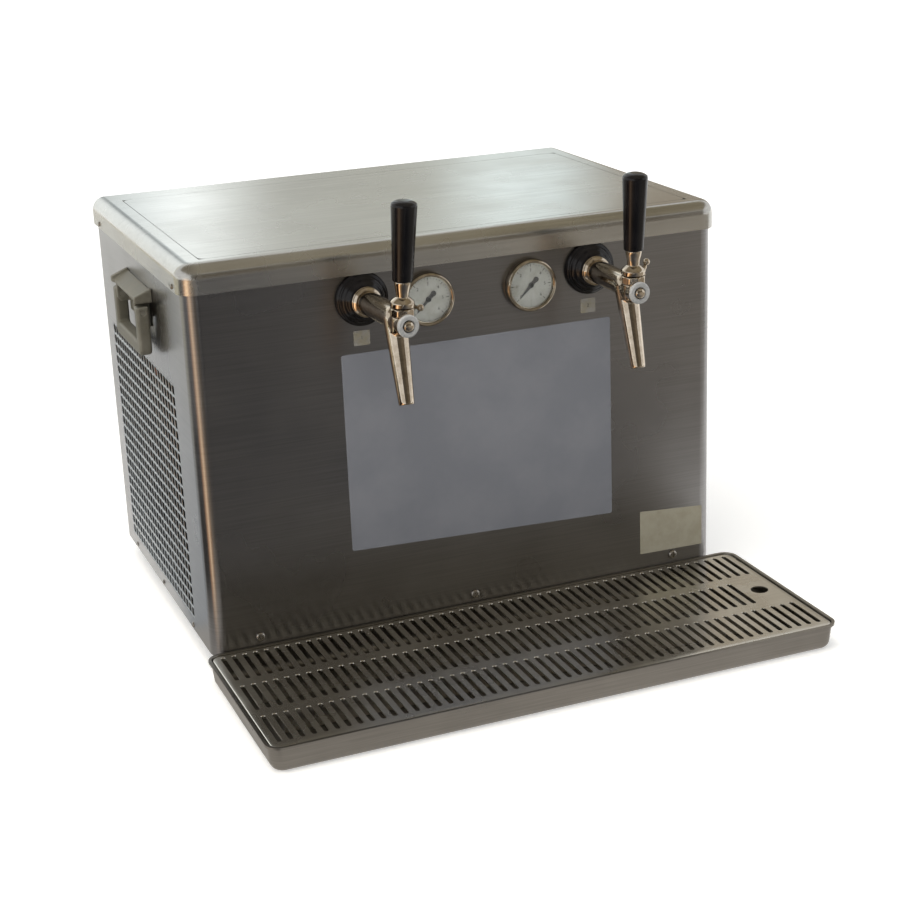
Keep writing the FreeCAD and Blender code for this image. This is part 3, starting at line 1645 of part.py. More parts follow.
def handles():
    pins = []
    for side, sign in SIDES.items():
        handle_base(side, sign)
        handle_bail(side, sign)
        for low, high in (("-handle_half + 1", "-ear_inner"), ("ear_inner", "handle_half - 1")):
            pins.append(
                rod(
                    "bail_pin_radius",
                    "y",
                    low,
                    high,
                    x=outward(sign, "(bail_back + bail_front) / 2"),
                    z="bail_pivot",
                )
            )
    keep(group(*pins), "handle_pins")


# Plates and labels, all without words


def front_plate(label, left, right, corners):
    """A thin sheet on the front; corners are heights: top left and right, then bottom."""
    owner = body()
    high_left, high_right, low_right, low_left = corners
    outline = [(left, low_left), (right, low_right), (right, high_right), (left, high_left)]
    slab(owner, "XZ_Plane", f"-({FRONT})", outline, "label_gauge")
    keep(owner, label)


def labels():
    sheet_corners = ("sheet_top", "sheet_top", "sheet_bottom", "sheet_bottom + sheet_slope")
    front_plate("info_sheet", "sheet_left", "sheet_right", sheet_corners)
    plate_corners = (
        "plate_top + plate_slope",
        "plate_top - plate_slope",
        "plate_bottom - plate_slope / 4",
        "plate_bottom + plate_slope / 4",
    )
    front_plate("rating_plate", "plate_left", "plate_right", plate_corners)
    near = f"{FRONT} - label_gauge"
    numbers = []
    for x in TAPS.values():
        middle = f"({x} + number_shift)"
        wide = (f"{middle} - number_size / 2", f"{middle} + number_size / 2")
        high = "(tap_height - number_drop)"
        tall = (f"{high} - number_size * 0.45", f"{high} + number_size * 0.45")
        numbers.append(block(wide, (near, FRONT), tall))
    keep(group(*numbers), "tap_number_labels")


# Inside: cold block, lines and the refrigerating set

JACKET_FLOOR = "(foot_height + pan_gauge)"
JACKET_TOP = "(foot_height + pan_gauge + jacket_height)"
BLOCK_TOP = "(foot_height + pan_gauge + jacket_height - jacket_wall)"
SHANK_END = "(shank_inside - cabinet_depth / 2)"
LINE_Y = "(jacket_front + jacket_back) / 2"


def cold_core():
    wall = "jacket_wall"
    whole = block(
        ("jacket_left", "jacket_right"),
        ("jacket_front", "jacket_back"),
        (JACKET_FLOOR, JACKET_TOP),
    )
    inner = (
        (f"jacket_left + {wall}", f"jacket_right - {wall}"),
        (f"jacket_front + {wall}", f"jacket_back - {wall}"),
        (f"{JACKET_FLOOR} + {wall}", BLOCK_TOP),
    )
    keep(block(*inner), "cold_block")
    radius = "beer_line_radius + 0.3"
    rising = [
        rod(radius, "z", BLOCK_TOP, f"{JACKET_TOP} + 1", x, LINE_Y)
        for x in TAPS.values()
    ]
    keep(cut(whole, block(*inner), *rising, *rear_line_holes()), "insulation_jacket")


def rear_line_holes():
    across = ("jacket_back - jacket_wall", "jacket_back + 1")
    return [
        rod("beer_line_radius + 0.3", "y", *across, x=x, z="inlet_height")
        for x in beer_inlet_places()
    ]


def beer_lines():
    lines = []
    for side in TAPS:
        x = TAPS[side]
        points = [
            (x, LINE_Y, BLOCK_TOP),
            (x, LINE_Y, "tap_height"),
            (x, SHANK_END, "tap_height"),
        ]
        lines.append(tube(points, "beer_line_radius", "line_bend"))
    inside = f"{BACK} - sheet_gauge - inlet_inside"
    for x in beer_inlet_places():
        run = rod(
            "beer_line_radius",
            "y",
            "jacket_back - jacket_wall",
            inside,
            x=x,
            z="inlet_height",
        )
        lines.append(run)
    keep(group(*lines), "beer_lines")


def gas_lines():
    """From each gauge back over the cold block, down behind it and out to the rear."""
    start = f"{FRONT} + gauge_case_depth + gauge_stem_length"
    drop = "jacket_back + gas_line_gap"
    lines = []
    for x in GAUGES.values():
        points = [
            (x, start, "gauge_height"),
            (x, drop, "gauge_height"),
            (x, drop, "inlet_height"),
            (x, f"{BACK} - sheet_gauge - inlet_inside", "inlet_height"),
        ]
        lines.append(tube(points, "coolant_line_radius", "line_bend"))
    keep(group(*lines), "gas_lines")


def rear_inlets():
    pieces = []
    for x in inlet_places():
        fitting = lathe(
            [
                (f"{BACK} - sheet_gauge - inlet_inside", "0"),
                (f"{BACK} - sheet_gauge - inlet_inside", "inlet_radius - 2"),
                (f"{BACK} - sheet_gauge - 8", "inlet_radius - 2"),
                (f"{BACK} - sheet_gauge - 8", "inlet_radius + 2"),
                (f"{BACK} - sheet_gauge", "inlet_radius + 2"),
                (f"{BACK} - sheet_gauge", "inlet_radius - 2"),
                (BACK, "inlet_radius - 2"),
                (BACK, "inlet_radius + 1"),
                (f"{BACK} + 5", "inlet_radius + 1"),
                (f"{BACK} + 5", "inlet_radius - 1"),
                (f"{BACK} + inlet_outside", "inlet_radius - 1"),
                (f"{BACK} + inlet_outside", "inlet_radius - 4"),
                (f"{BACK} + 2", "inlet_radius - 4"),
                (f"{BACK} + 2", "0"),
            ],
            "y",
        )
        move_to(fitting, x, "0", "inlet_height")
        pieces.append(fitting)
    keep(group(*pieces), "rear_inlets")


def refrigeration():
    inner = f"-({SIDE}) + sheet_gauge + pan_gauge + fit_gap + 2"
    low = f"{FLOOR} + pan_gauge"
    condenser = block(
        (inner, f"{inner} + condenser_depth"),
        ("condenser_front", "condenser_back"),
        (low, f"{low} + condenser_height"),
    )
    gaps = []
    fin_pitch = "(condenser_back - condenser_front) / condenser_gaps"
    for i in range(int(number("condenser_gaps"))):
        y = f"(condenser_front + {fin_pitch} * {i + 0.5})"
        gaps.append(
            block(
                (f"{inner} - 1", f"{inner} + condenser_depth / 2 - 1"),
                (f"{y} - condenser_gap / 2", f"{y} + condenser_gap / 2"),
                (f"{low} + condenser_edge", f"{low} + condenser_height - condenser_edge"),
            )
        )
    keep(cut(condenser, *gaps), "condenser")

    face = f"({inner} + condenser_depth)"
    plate = block(
        (face, f"{face} + shroud_gauge"),
        ("condenser_front", "condenser_back"),
        (low, f"{low} + condenser_height"),
    )
    far = f"({face} + fan_width + 10)"
    ring = rod("fan_radius + 4", "x", face, far, y="fan_y", z="fan_z")
    opening = rod("fan_radius + 2.5", "x", f"{face} - 1", f"{far} + 1", y="fan_y", z="fan_z")
    bars = []
    for sign in (-1, 1):
        bars.append(
            block(
                (far, f"{far} + 3"),
                ("fan_y - fan_radius - 3.5", "fan_y + fan_radius + 3.5"),
                (f"fan_z + {sign} * 20 - 5", f"fan_z + {sign} * 20 + 5"),
            )
        )
    keep(fuse(cut(fuse(plate, ring), opening), *bars), "fan_shroud")

    rotor_low = f"({face} + 4)"
    rotor_high = f"({face} + 4 + fan_width)"
    shaft_end = f"({far} + 3)"
    hub = rod("fan_hub_radius", "x", rotor_low, rotor_high, y="fan_y", z="fan_z")
    blades = [fan_blade(i, rotor_low) for i in range(int(number("fan_blades")))]
    bore = rod("shaft_radius", "x", rotor_low, shaft_end, y="fan_y", z="fan_z")
    keep(cut(fuse(hub, *blades), bore), "fan_rotor")

    motor = rod("motor_radius", "x", shaft_end, f"{shaft_end} + motor_length", y="fan_y", z="fan_z")
    shaft_radius = "shaft_radius - running_gap"
    shaft = rod(shaft_radius, "x", rotor_low, shaft_end, y="fan_y", z="fan_z")
    keep(fuse(motor, shaft), "fan_motor")

    base = f"({FLOOR} + pan_gauge)"
    high = "compressor_height"
    pot = lathe(
        [
            (f"{base} + 6", "0"),
            (f"{base} + 6", "compressor_radius - 8"),
            (f"{base} + 14", "compressor_radius"),
            (f"{base} + {high} - compressor_dome", "compressor_radius"),
            (f"{base} + {high} - compressor_dome / 3", "compressor_radius * 0.8"),
            (f"{base} + {high}", "compressor_radius * 0.35"),
            (f"{base} + {high}", "0"),
        ],
        "z",
    )
    move_to(pot, "compressor_x", "compressor_y", "0")
    legs = []
    for a, b in FEET:
        legs.append(
            rod(
                "leg_radius",
                "z",
                base,
                f"{base} + leg_height",
                f"compressor_x + {a} * compressor_radius * 0.62",
                f"compressor_y + {b} * compressor_radius * 0.62",
            )
        )
    keep(fuse(pot, *legs), "compressor")

    crown = f"({base} + {high})"
    over = f"{low} + condenser_height + pipe_rise"
    condenser_x = f"{inner} + condenser_depth / 2 + 4"
    out_x = "compressor_x + line_offset"
    back_x = "compressor_x - line_offset"
    hot = [
        (out_x, "compressor_y", crown),
        (out_x, "compressor_y", over),
        (condenser_x, "compressor_y", over),
        (condenser_x, "compressor_y", f"{low} + condenser_height"),
    ]
    liquid_y = "condenser_front + pipe_rise"
    liquid = [
        (condenser_x, liquid_y, f"{low} + condenser_height"),
        (condenser_x, liquid_y, f"{JACKET_TOP} + line_bend"),
        ("jacket_left + pipe_rise", liquid_y, f"{JACKET_TOP} + line_bend"),
        ("jacket_left + pipe_rise", liquid_y, JACKET_TOP),
    ]
    cold = [
        (back_x, "jacket_back", f"{crown} + pipe_rise"),
        (back_x, "compressor_y", f"{crown} + pipe_rise"),
        (back_x, "compressor_y", crown),
    ]
    pipes = [tube(route, "coolant_line_radius", "line_bend / 2") for route in (hot, liquid, cold)]
    keep(group(*pipes), "refrigerant_lines")


def fan_blade(i, start):
    """One pitched flat blade on the hub."""
    owner = doc.addObject("Part::Box", "blade")
    bind(owner, "Length", "blade_gauge")
    bind(owner, "Width", "blade_width")
    bind(owner, "Height", "fan_radius - fan_hub_radius + blade_root")
    turn = FreeCAD.Rotation(FreeCAD.Vector(1, 0, 0), i * 360 / number("fan_blades"))
    pitch = FreeCAD.Rotation(FreeCAD.Vector(0, 0, 1), -number("blade_pitch"))
    centre = FreeCAD.Vector(
        number("-blade_gauge / 2"), number("-blade_width / 2"), number("fan_hub_radius - blade_root")
    )
    local = FreeCAD.Placement(pitch.multVec(centre), pitch)
    middle = FreeCAD.Vector(number(f"{start} + fan_width / 2"), number("fan_y"), number("fan_z"))
    owner.Placement = FreeCAD.Placement(middle, turn).multiply(local)
    return owner


def controls():
    size = "thermostat_size"
    inside = f"{BACK} - sheet_gauge"
    box = block(
        (f"thermostat_x - {size} / 2", f"thermostat_x + {size} / 2"),
        (f"{inside} - 36", inside),
        (f"thermostat_z - {size} / 2", f"thermostat_z + {size} / 2"),
    )
    bore = rod(
        "knob_shaft_radius + running_gap",
        "y",
        f"{inside} - 10",
        f"{inside} + 1",
        x="thermostat_x",
        z="thermostat_z",
    )
    keep(cut(box, bore), "thermostat")
    knob = lathe(
        [
            (f"{inside} - 9", "0"),
            (f"{inside} - 9", "knob_shaft_radius"),
            (f"{BACK} + fit_gap", "knob_shaft_radius"),
            (f"{BACK} + fit_gap", "knob_rear_radius"),
            (f"{BACK} + knob_rear_depth * 0.4", "knob_rear_radius"),
            (f"{BACK} + knob_rear_depth * 0.4", "knob_rear_radius - 2"),
            (f"{BACK} + knob_rear_depth", "knob_rear_radius - 3"),
            (f"{BACK} + knob_rear_depth", "0"),
        ],
        "y",
    )
    move_to(knob, "thermostat_x", "0", "thermostat_z")
    mark = block(
        ("thermostat_x - 1", "thermostat_x + 1"),
        (f"{BACK} + knob_rear_depth - 1", f"{BACK} + knob_rear_depth + 1"),
        ("thermostat_z + 2", "thermostat_z + knob_rear_radius - 3"),
    )
    keep(cut(knob, mark), "thermostat_knob")

    half_wide = "power_width / 2"
    half_tall = "power_height / 2"
    housing = block(
        (f"power_x - {half_wide}", f"power_x + {half_wide}"),
        (f"{BACK} - power_depth", BACK),
        (f"inlet_height - {half_tall}", f"inlet_height + {half_tall}"),
    )
    lip = "power_flange"
    flange = block(
        (f"power_x - {half_wide} - {lip}", f"power_x + {half_wide} + {lip}"),
        (BACK, f"{BACK} + power_lip"),
        (f"inlet_height - {half_tall} - {lip}", f"inlet_height + {half_tall} + {lip}"),
    )
    well = block(
        (f"power_x - {half_wide} + power_side_wall", f"power_x + {half_wide} - power_side_wall"),
        (f"{BACK} - power_well_depth", f"{BACK} + power_lip + 1"),
        (f"inlet_height - {half_tall} + power_wall", f"inlet_height + {half_tall} - power_wall"),
    )
    prongs = []
    for i in (-1, 0, 1):
        x = f"power_x + {i} * prong_spacing"
        prongs.append(
            block(
                (f"{x} - prong_half", f"{x} + prong_half"),
                (f"{BACK} - power_well_depth - 1", f"{BACK} - power_flange"),
                ("inlet_height - 2 * prong_half", "inlet_height + 2 * prong_half"),
            )
        )
    keep(fuse(cut(fuse(housing, flange), well), *prongs), "power_inlet")


chassis_pan()
cabinet_wrap()
side_grilles()
rear_panel()
feet_and_bolts()
lid()
screws()
taps()
gauges()
drip_tray()
drip_grid()
handles()
labels()
cold_core()
beer_lines()
gas_lines()
rear_inlets()
refrigeration()
controls()
doc.recompute()

faults = []
for thing in doc.Objects:
    if {"Invalid", "Error"} & set(thing.State):
        faults.append(f"{thing.Label}: {thing.State}")
for node in nodes:
    shape = node.Shape
    if shape.isNull() or not shape.isValid() or not shape.Solids:
        faults.append(f"{node.Label}: no sound solid")
if faults:
    raise RuntimeError("; ".join(faults))

# The model is drawn about the cabinet's middle. The files have their origin on the
# counter under the middle of everything, tray and handles included.
whole = Part.makeCompound([node.Shape for node in nodes]).BoundBox
to_origin = FreeCAD.Vector(-whole.Center.x, -whole.Center.y, 0)
print(f"cabinet's middle from the origin: {to_origin.x:.3f} {to_origin.y:.3f}")

os.makedirs("parts", exist_ok=True)
for node in nodes:
    shape = node.Shape.copy()
    shape.translate(to_origin)
    shape.exportStep(os.path.join("parts", node.Label + ".step"))
    box = shape.BoundBox
    print(
        f"{node.Label:20s} solids {len(node.Shape.Solids):3d}"
        f"  x {box.XMin:8.1f} {box.XMax:8.1f}"
        f"  y {box.YMin:8.1f} {box.YMax:8.1f}"
        f"  z {box.ZMin:8.1f} {box.ZMax:8.1f}"
    )
print(len(nodes), "nodes")
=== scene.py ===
import math

import bmesh
import bpy
from mathutils import Matrix, Vector


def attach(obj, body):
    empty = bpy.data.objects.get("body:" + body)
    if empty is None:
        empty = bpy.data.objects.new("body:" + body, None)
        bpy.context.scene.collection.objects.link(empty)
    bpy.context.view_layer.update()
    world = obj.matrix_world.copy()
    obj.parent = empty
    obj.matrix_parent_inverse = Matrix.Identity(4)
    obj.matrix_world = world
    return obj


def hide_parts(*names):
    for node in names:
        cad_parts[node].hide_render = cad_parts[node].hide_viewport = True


# Two-tap over-counter beer cooler in brushed stainless steel.
# Sizes here are millimetres from the point on the counter under the cabinet's middle.
# The frame's own unit is the metre, from the middle of the whole footprint.
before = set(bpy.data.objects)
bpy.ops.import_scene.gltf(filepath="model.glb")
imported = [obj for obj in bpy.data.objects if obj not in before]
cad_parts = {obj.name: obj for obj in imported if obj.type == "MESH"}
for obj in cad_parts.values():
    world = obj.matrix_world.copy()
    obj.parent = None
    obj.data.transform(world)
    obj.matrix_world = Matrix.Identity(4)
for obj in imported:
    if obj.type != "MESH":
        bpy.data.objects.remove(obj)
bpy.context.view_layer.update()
mm = 0.001
cabinetMiddle = (-2.25, 93.5, 0.0)


# camera, fitted to the photograph's edges

cameraPlace = {
    "spot": (-619.8, -1705.0, 753.7),
    "right": (0.92259, -0.38410, -0.03589),
    "up": (0.15600, 0.28637, 0.94533),
    "lens": 74.05,  # on a 36 mm wide sensor
    "shiftAcross": -0.01685,
    "shiftUp": -0.00663,
}


def addCamera(place):
    across = Vector(place["right"]).normalized()
    up = Vector(place["up"]).normalized()
    back = across.cross(up).normalized()
    up = back.cross(across)
    data = bpy.data.cameras.new("photoCamera")
    data.lens = place["lens"]
    data.sensor_width = 36
    data.shift_x = place["shiftAcross"]
    data.shift_y = place["shiftUp"]
    data.clip_end = 100
    camera = bpy.data.objects.new("photoCamera", data)
    turn = Matrix((across, up, back)).transposed().to_4x4()
    spot = Vector(place["spot"]) + Vector(cabinetMiddle)
    camera.matrix_world = Matrix.Translation(spot * mm) @ turn
    bpy.context.collection.objects.link(camera)
    bpy.context.scene.camera = camera


addCamera(cameraPlace)
print("camera stands")


# small tools for materials

def hexColor(code):
    parts = [int(code[i:i + 2], 16) / 255 for i in (1, 3, 5)]
    return [v / 12.92 if v < 0.04045 else ((v + 0.055) / 1.055) ** 2.4 for v in parts] + [1.0]


def addNode(tree, kind, settings=None, inputs=None):
    node = tree.nodes.new(kind)
    for name, value in (settings or {}).items():
        setattr(node, name, value)
    for name, value in (inputs or {}).items():
        if isinstance(value, bpy.types.NodeSocket):
            tree.links.new(value, node.inputs[name])
        else:
            node.inputs[name].default_value = value
    return node


def mathNode(tree, operation, *values, clamped=False):
    node = addNode(tree, "ShaderNodeMath", {"operation": operation, "use_clamp": clamped},
                   dict(enumerate(values)))
    return node.outputs[0]


def startMaterial(name, values):
    material = bpy.data.materials.new(name)
    material.use_nodes = True
    tree = material.node_tree
    shader = tree.nodes["Principled BSDF"]
    for socket, value in values.items():
        shader.inputs[socket].default_value = value
    place = addNode(tree, "ShaderNodeTexCoord").outputs["Object"]
    return material, tree, shader, place


def stretchedNoise(tree, place, sizes, detail=3.0, rough=0.6, offset=(0, 0, 0)):
    # sizes: how long one blotch is along x, y and z, in mm
    scale = [1 / (size * mm) for size in sizes]
    moved = addNode(tree, "ShaderNodeMapping", {}, {"Vector": place, "Location": offset, "Scale": scale})
    texture = addNode(tree, "ShaderNodeTexNoise", {}, {
        "Vector": moved.outputs["Vector"], "Scale": 1.0, "Detail": detail, "Roughness": rough})
    return texture.outputs["Fac"]


def spread(tree, value, low, high, outLow, outHigh):
    node = addNode(tree, "ShaderNodeMapRange", {}, {
        "Value": value, "From Min": low, "From Max": high, "To Min": outLow, "To Max": outHigh})
    return node.outputs["Result"]


def blendColors(tree, factor, first, second):
    node = addNode(tree, "ShaderNodeMix", {"data_type": "RGBA"}, {0: factor, 6: first, 7: second})
    return node.outputs[2]


def bumpOf(tree, shader, height, depth, strength=1.0):
    # depth in mm
    bump = addNode(tree, "ShaderNodeBump", {}, {
        "Height": height, "Strength": strength, "Distance": depth * mm})
    tree.links.new(bump.outputs["Normal"], shader.inputs["Normal"])


def edgeWear(tree):
    # pointiness follows the mesh, so only the finely divided round edges show it
    point = addNode(tree, "ShaderNodeNewGeometry").outputs["Pointiness"]
    return spread(tree, point, 0.50, 0.56, 0.0, 1.0)


# Ground stainless sheet. The belt leaves fine parallel scratches, so reflections smear across
# the grain; hands leave broad dull clouds. Real grit is 0.1 mm, drawn as 1.4 mm and more to show.
steelLooks = {
    "panel": {"dark": "#828181", "light": "#959494", "rough": (0.24, 0.36),
              "grain": (90, 90, 1.4), "cloud": 150, "smear": 0.75},
    "lid": {"dark": "#a9a8a4", "light": "#c2c1bc", "rough": (0.20, 0.31),
            "grain": (120, 3, 3), "cloud": 120, "smear": 0.0},
    "tray": {"dark": "#85827d", "light": "#9f9b95", "rough": (0.26, 0.38),
             "grain": (70, 70, 1.4), "cloud": 90, "smear": 0.5},
    # the grid is the same stainless drawn much lighter: its own tone plus painted light, a lift that stands
    # in for brightness its dark surroundings don't give it
    "grid": {"dark": "#cbc8c0", "light": "#e2dfd6", "rough": (0.22, 0.34),
             "grain": (70, 1.4, 1.4), "cloud": 60, "smear": 0.0},
    "grille": {"dark": "#999d9e", "light": "#b4b8b9", "rough": (0.28, 0.40),
               "grain": (60, 60, 1.4), "cloud": 80, "smear": 0.0},
    "zinc": {"dark": "#6f7070", "light": "#8d8e8c", "rough": (0.38, 0.55),
             "grain": (14, 14, 14), "cloud": 40, "smear": 0.0},
    "screw": {"dark": "#8f8b85", "light": "#b5b1ab", "rough": (0.20, 0.34),
              "grain": (3, 3, 3), "cloud": 12, "smear": 0.0},
}
# how much the scratches and the clouds change the tone, what a hand print adds to the roughness
# and how large it is beside a cloud, and the depth of the scratches in mm
steelWear = {"scratchTone": 0.45, "cloudTone": 0.45, "printRough": 0.03, "printSize": 0.3,
             "scratchDepth": 0.015, "scratchStrength": 0.2}


def brushedSteel(name, look, wear):
    # smear: how far a reflection is drawn out upright, across the level grain
    material, tree, shader, place = startMaterial(name, {
        "Metallic": 1.0, "Anisotropic": look["smear"], "Anisotropic Rotation": 0.25})
    if look["smear"]:
        level = addNode(tree, "ShaderNodeTangent", {"direction_type": "RADIAL", "axis": "Z"})
        tree.links.new(level.outputs["Tangent"], shader.inputs["Tangent"])
    grain = stretchedNoise(tree, place, look["grain"], 2.0, 0.5)
    cloud = stretchedNoise(tree, place, [look["cloud"]] * 3, 3.0, 0.55, (0.3, 0.7, 0.1))
    size = look["cloud"] * wear["printSize"]
    handPrint = stretchedNoise(tree, place, [size] * 3, 1.0, 0.4, (1.3, 0.2, 0.9))
    tint = mathNode(tree, "MULTIPLY_ADD", spread(tree, grain, 0.3, 0.7, 0.0, 1.0), wear["scratchTone"],
                    spread(tree, cloud, 0.35, 0.65, 0.0, wear["cloudTone"]))
    color = blendColors(tree, tint, hexColor(look["dark"]), hexColor(look["light"]))
    tree.links.new(color, shader.inputs["Base Color"])
    dull = mathNode(tree, "ADD", spread(tree, cloud, 0.3, 0.7, *look["rough"]),
                    spread(tree, handPrint, 0.40, 0.75, 0.0, wear["printRough"]))
    tree.links.new(dull, shader.inputs["Roughness"])
    bumpOf(tree, shader, grain, wear["scratchDepth"], wear["scratchStrength"])
    return material


# Moulded phenolic and ABS, painted parts and rubber share one build: a base colour with faint
# blotches, scuffs that raise the roughness, and the mould's or roller's fine texture as bump.
plasticLooks = {
    "blackPhenolic": {"color": "#09080a", "worn": "#141214", "rough": (0.16, 0.28), "blotch": 18,
                      "texture": 6.0, "depth": 0.03, "specular": 0.3},
    "oliveAbs": {"color": "#5c5a4f", "worn": "#75736a", "rough": (0.46, 0.62), "blotch": 25,
                 "texture": 0.8, "depth": 0.05, "specular": 0.4},
    "greyAcetal": {"color": "#9a9b9b", "worn": "#b3b3b1", "rough": (0.22, 0.36), "blotch": 8,
                   "texture": 2.0, "depth": 0.02, "specular": 0.5},
    "dialEnamel": {"color": "#bfbfba", "worn": "#a19d92", "rough": (0.40, 0.52), "blotch": 14,
                   "texture": 1.2, "depth": 0.01, "specular": 0.35},
    "blackEnamel": {"color": "#141313", "worn": "#232120", "rough": (0.30, 0.42), "blotch": 9,
                    "texture": 1.4, "depth": 0.01, "specular": 0.45},
    "vinylFilm": {"color": "#72757d", "worn": "#7f8188", "rough": (0.34, 0.48), "blotch": 60,
                  "texture": 3.0, "depth": 0.03, "specular": 0.45},
    "paperLabel": {"color": "#b0ab9b", "worn": "#a09a87", "rough": (0.50, 0.66), "blotch": 16,
                   "texture": 0.9, "depth": 0.03, "specular": 0.3},
    "paleLabel": {"color": "#8d8d8f", "worn": "#86806f", "rough": (0.45, 0.6), "blotch": 7,
                  "texture": 0.9, "depth": 0.02, "specular": 0.35},
    "footRubber": {"color": "#191919", "worn": "#2e2d2b", "rough": (0.66, 0.82), "blotch": 10,
                   "texture": 0.7, "depth": 0.08, "specular": 0.3},
    # the foam's own tan, drawn darker as painted shade for the inside seen through the side grilles
    "foamBoard": {"color": "#8f8668", "worn": "#756c50", "rough": (0.80, 0.92), "blotch": 22,
                  "texture": 2.2, "depth": 0.30, "specular": 0.2},
    "linePlastic": {"color": "#aeb5b4", "worn": "#c4cac8", "rough": (0.20, 0.34), "blotch": 20,
                    "texture": 4.0, "depth": 0.03, "specular": 0.5},
    # near black: the machines' own black paint, drawn darker still as painted shade for the inside seen
    # through the side grilles
    "machineEnamel": {"color": "#17181a", "worn": "#2c2d2e", "rough": (0.34, 0.50), "blotch": 30,
                      "texture": 1.6, "depth": 0.06, "specular": 0.45},
    # the condenser fins: their black paint, drawn still darker as painted shade for the dark inside seen
    # through the side grilles
    "blackPaintAndShadeFins": {"color": "#0d0d0e", "worn": "#1a1918", "rough": (0.80, 0.92), "blotch": 12,
                  "texture": 1.0, "depth": 0.05, "specular": 0.08},
    "fanNylon": {"color": "#1e1f20", "worn": "#303132", "rough": (0.46, 0.60), "blotch": 16,
                 "texture": 0.8, "depth": 0.03, "specular": 0.4},
}


def moulded(name, look):
    material, tree, shader, place = startMaterial(name, {"Specular IOR Level": look["specular"]})
    blotch = stretchedNoise(tree, place, [look["blotch"]] * 3, 4.0, 0.6)
    texture = stretchedNoise(tree, place, [look["texture"]] * 3, 3.0, 0.55, (0.6, 0.1, 0.4))
    wear = mathNode(tree, "MULTIPLY_ADD", edgeWear(tree), 0.5, spread(tree, blotch, 0.42, 0.72, 0.0, 0.7),
                    clamped=True)
    color = blendColors(tree, wear, hexColor(look["color"]), hexColor(look["worn"]))
    tree.links.new(color, shader.inputs["Base Color"])
    tree.links.new(spread(tree, blotch, 0.35, 0.7, *look["rough"]), shader.inputs["Roughness"])
    bumpOf(tree, shader, texture, look["depth"], 0.6)
    return material


# The other metals: tone and roughness follow a stain, the bump follows a relief or else the stain.
# Both are a blotch's lengths along x, y and z in mm, its detail, its roughness and its offset.
metalLooks = {
    # a near mirror, faintly warm, with a soft cast waviness
    "chromePlate": {"color": "#c4b9a9", "worn": "#a79a88", "rough": (0.09, 0.16),
                    "stain": ((7, 7, 7), 4.0, 0.6, (0.4, 0.1, 0.2)), "relief": ((14, 14, 14), 2.0, 0.4),
                    "toneFrom": (0.35, 0.7), "dullFrom": (0.4, 0.75), "depth": 0.03, "strength": 0.6},
    # thin chrome on brass, warmer, with turning lines that run round the rim
    "spunBrassRim": {"color": "#b8ae9d", "worn": "#8d8273", "rough": (0.10, 0.22),
                     "stain": ((7, 7, 7), 4.0, 0.6, (0.2, 0.5, 0.8)), "relief": ((12, 0.6, 12), 3.0, 0.6),
                     "toneFrom": (0.35, 0.68), "dullFrom": (0.4, 0.7), "depth": 0.02, "strength": 0.5},
    "castAluminium": {"color": "#a3a4a5", "worn": "#868789", "rough": (0.38, 0.55),
                      "stain": ((14, 14, 14), 5.0, 0.6), "toneFrom": (0.38, 0.68),
                      "dullFrom": (0.35, 0.7), "depth": 0.10, "strength": 0.5},
    "satinBrass": {"color": "#b08f4e", "worn": "#8a6c38", "rough": (0.28, 0.44),
                   "stain": ((8, 8, 8), 5.0, 0.6), "toneFrom": (0.38, 0.68),
                   "dullFrom": (0.35, 0.7), "depth": 0.03, "strength": 0.5},
    "drawnCopper": {"color": "#b4694a", "worn": "#7f4b37", "rough": (0.26, 0.44),
                    "stain": ((16, 16, 16), 5.0, 0.6), "toneFrom": (0.38, 0.68),
                    "dullFrom": (0.35, 0.7), "depth": 0.02, "strength": 0.5},
}


def stainedMetal(name, look):
    material, tree, shader, place = startMaterial(name, {"Metallic": 1.0})
    stain = stretchedNoise(tree, place, *look["stain"])
    relief = stretchedNoise(tree, place, *look["relief"]) if "relief" in look else stain
    tone = spread(tree, stain, *look["toneFrom"], 0.0, 1.0)
    color = blendColors(tree, tone, hexColor(look["color"]), hexColor(look["worn"]))
    tree.links.new(color, shader.inputs["Base Color"])
    tree.links.new(spread(tree, stain, *look["dullFrom"], *look["rough"]), shader.inputs["Roughness"])
    bumpOf(tree, shader, relief, look["depth"], look["strength"])
    return material


# Clear gauge glass: thin, lightly dusty, so the dial stays easy to read through it
glassLook = {"tint": "#f4f6f5", "rough": (0.03, 0.10), "speck": 5}


def clearGlass(name, look):
    material, tree, shader, place = startMaterial(name, {
        "Base Color": hexColor(look["tint"]), "Transmission Weight": 1.0, "IOR": 1.45})
    speck = stretchedNoise(tree, place, [look["speck"]] * 3, 5.0, 0.65)
    tree.links.new(spread(tree, speck, 0.55, 0.8, *look["rough"]), shader.inputs["Roughness"])
    return material


steel = {name: brushedSteel(name + "Steel", look, steelWear) for name, look in steelLooks.items()}
plastic = {name: moulded(name, look) for name, look in plasticLooks.items()}
metal = {name: stainedMetal(name, look) for name, look in metalLooks.items()}
chrome = metal["chromePlate"]
brassRim = metal["spunBrassRim"]
glass = clearGlass("gaugeGlass", glassLook)
print("materials mixed")


# small tools for shapes

def softCorners(points, radius, steps=3, closed=False):
    # replaces every inner corner of a profile by a short curve
    result = []
    for i, point in enumerate(points):
        if not closed and i in (0, len(points) - 1):
            result.append(tuple(point))
            continue
        here = Vector(point)
        before = Vector(points[i - 1]) - here
        after = Vector(points[(i + 1) % len(points)]) - here
        reach = min(radius, before.length * 0.45, after.length * 0.45)
        start = here + before.normalized() * reach
        end = here + after.normalized() * reach
        for step in range(steps + 1):
            t = step / steps
            result.append(tuple(start * (1 - t) ** 2 + here * 2 * t * (1 - t) + end * t * t))
    return result


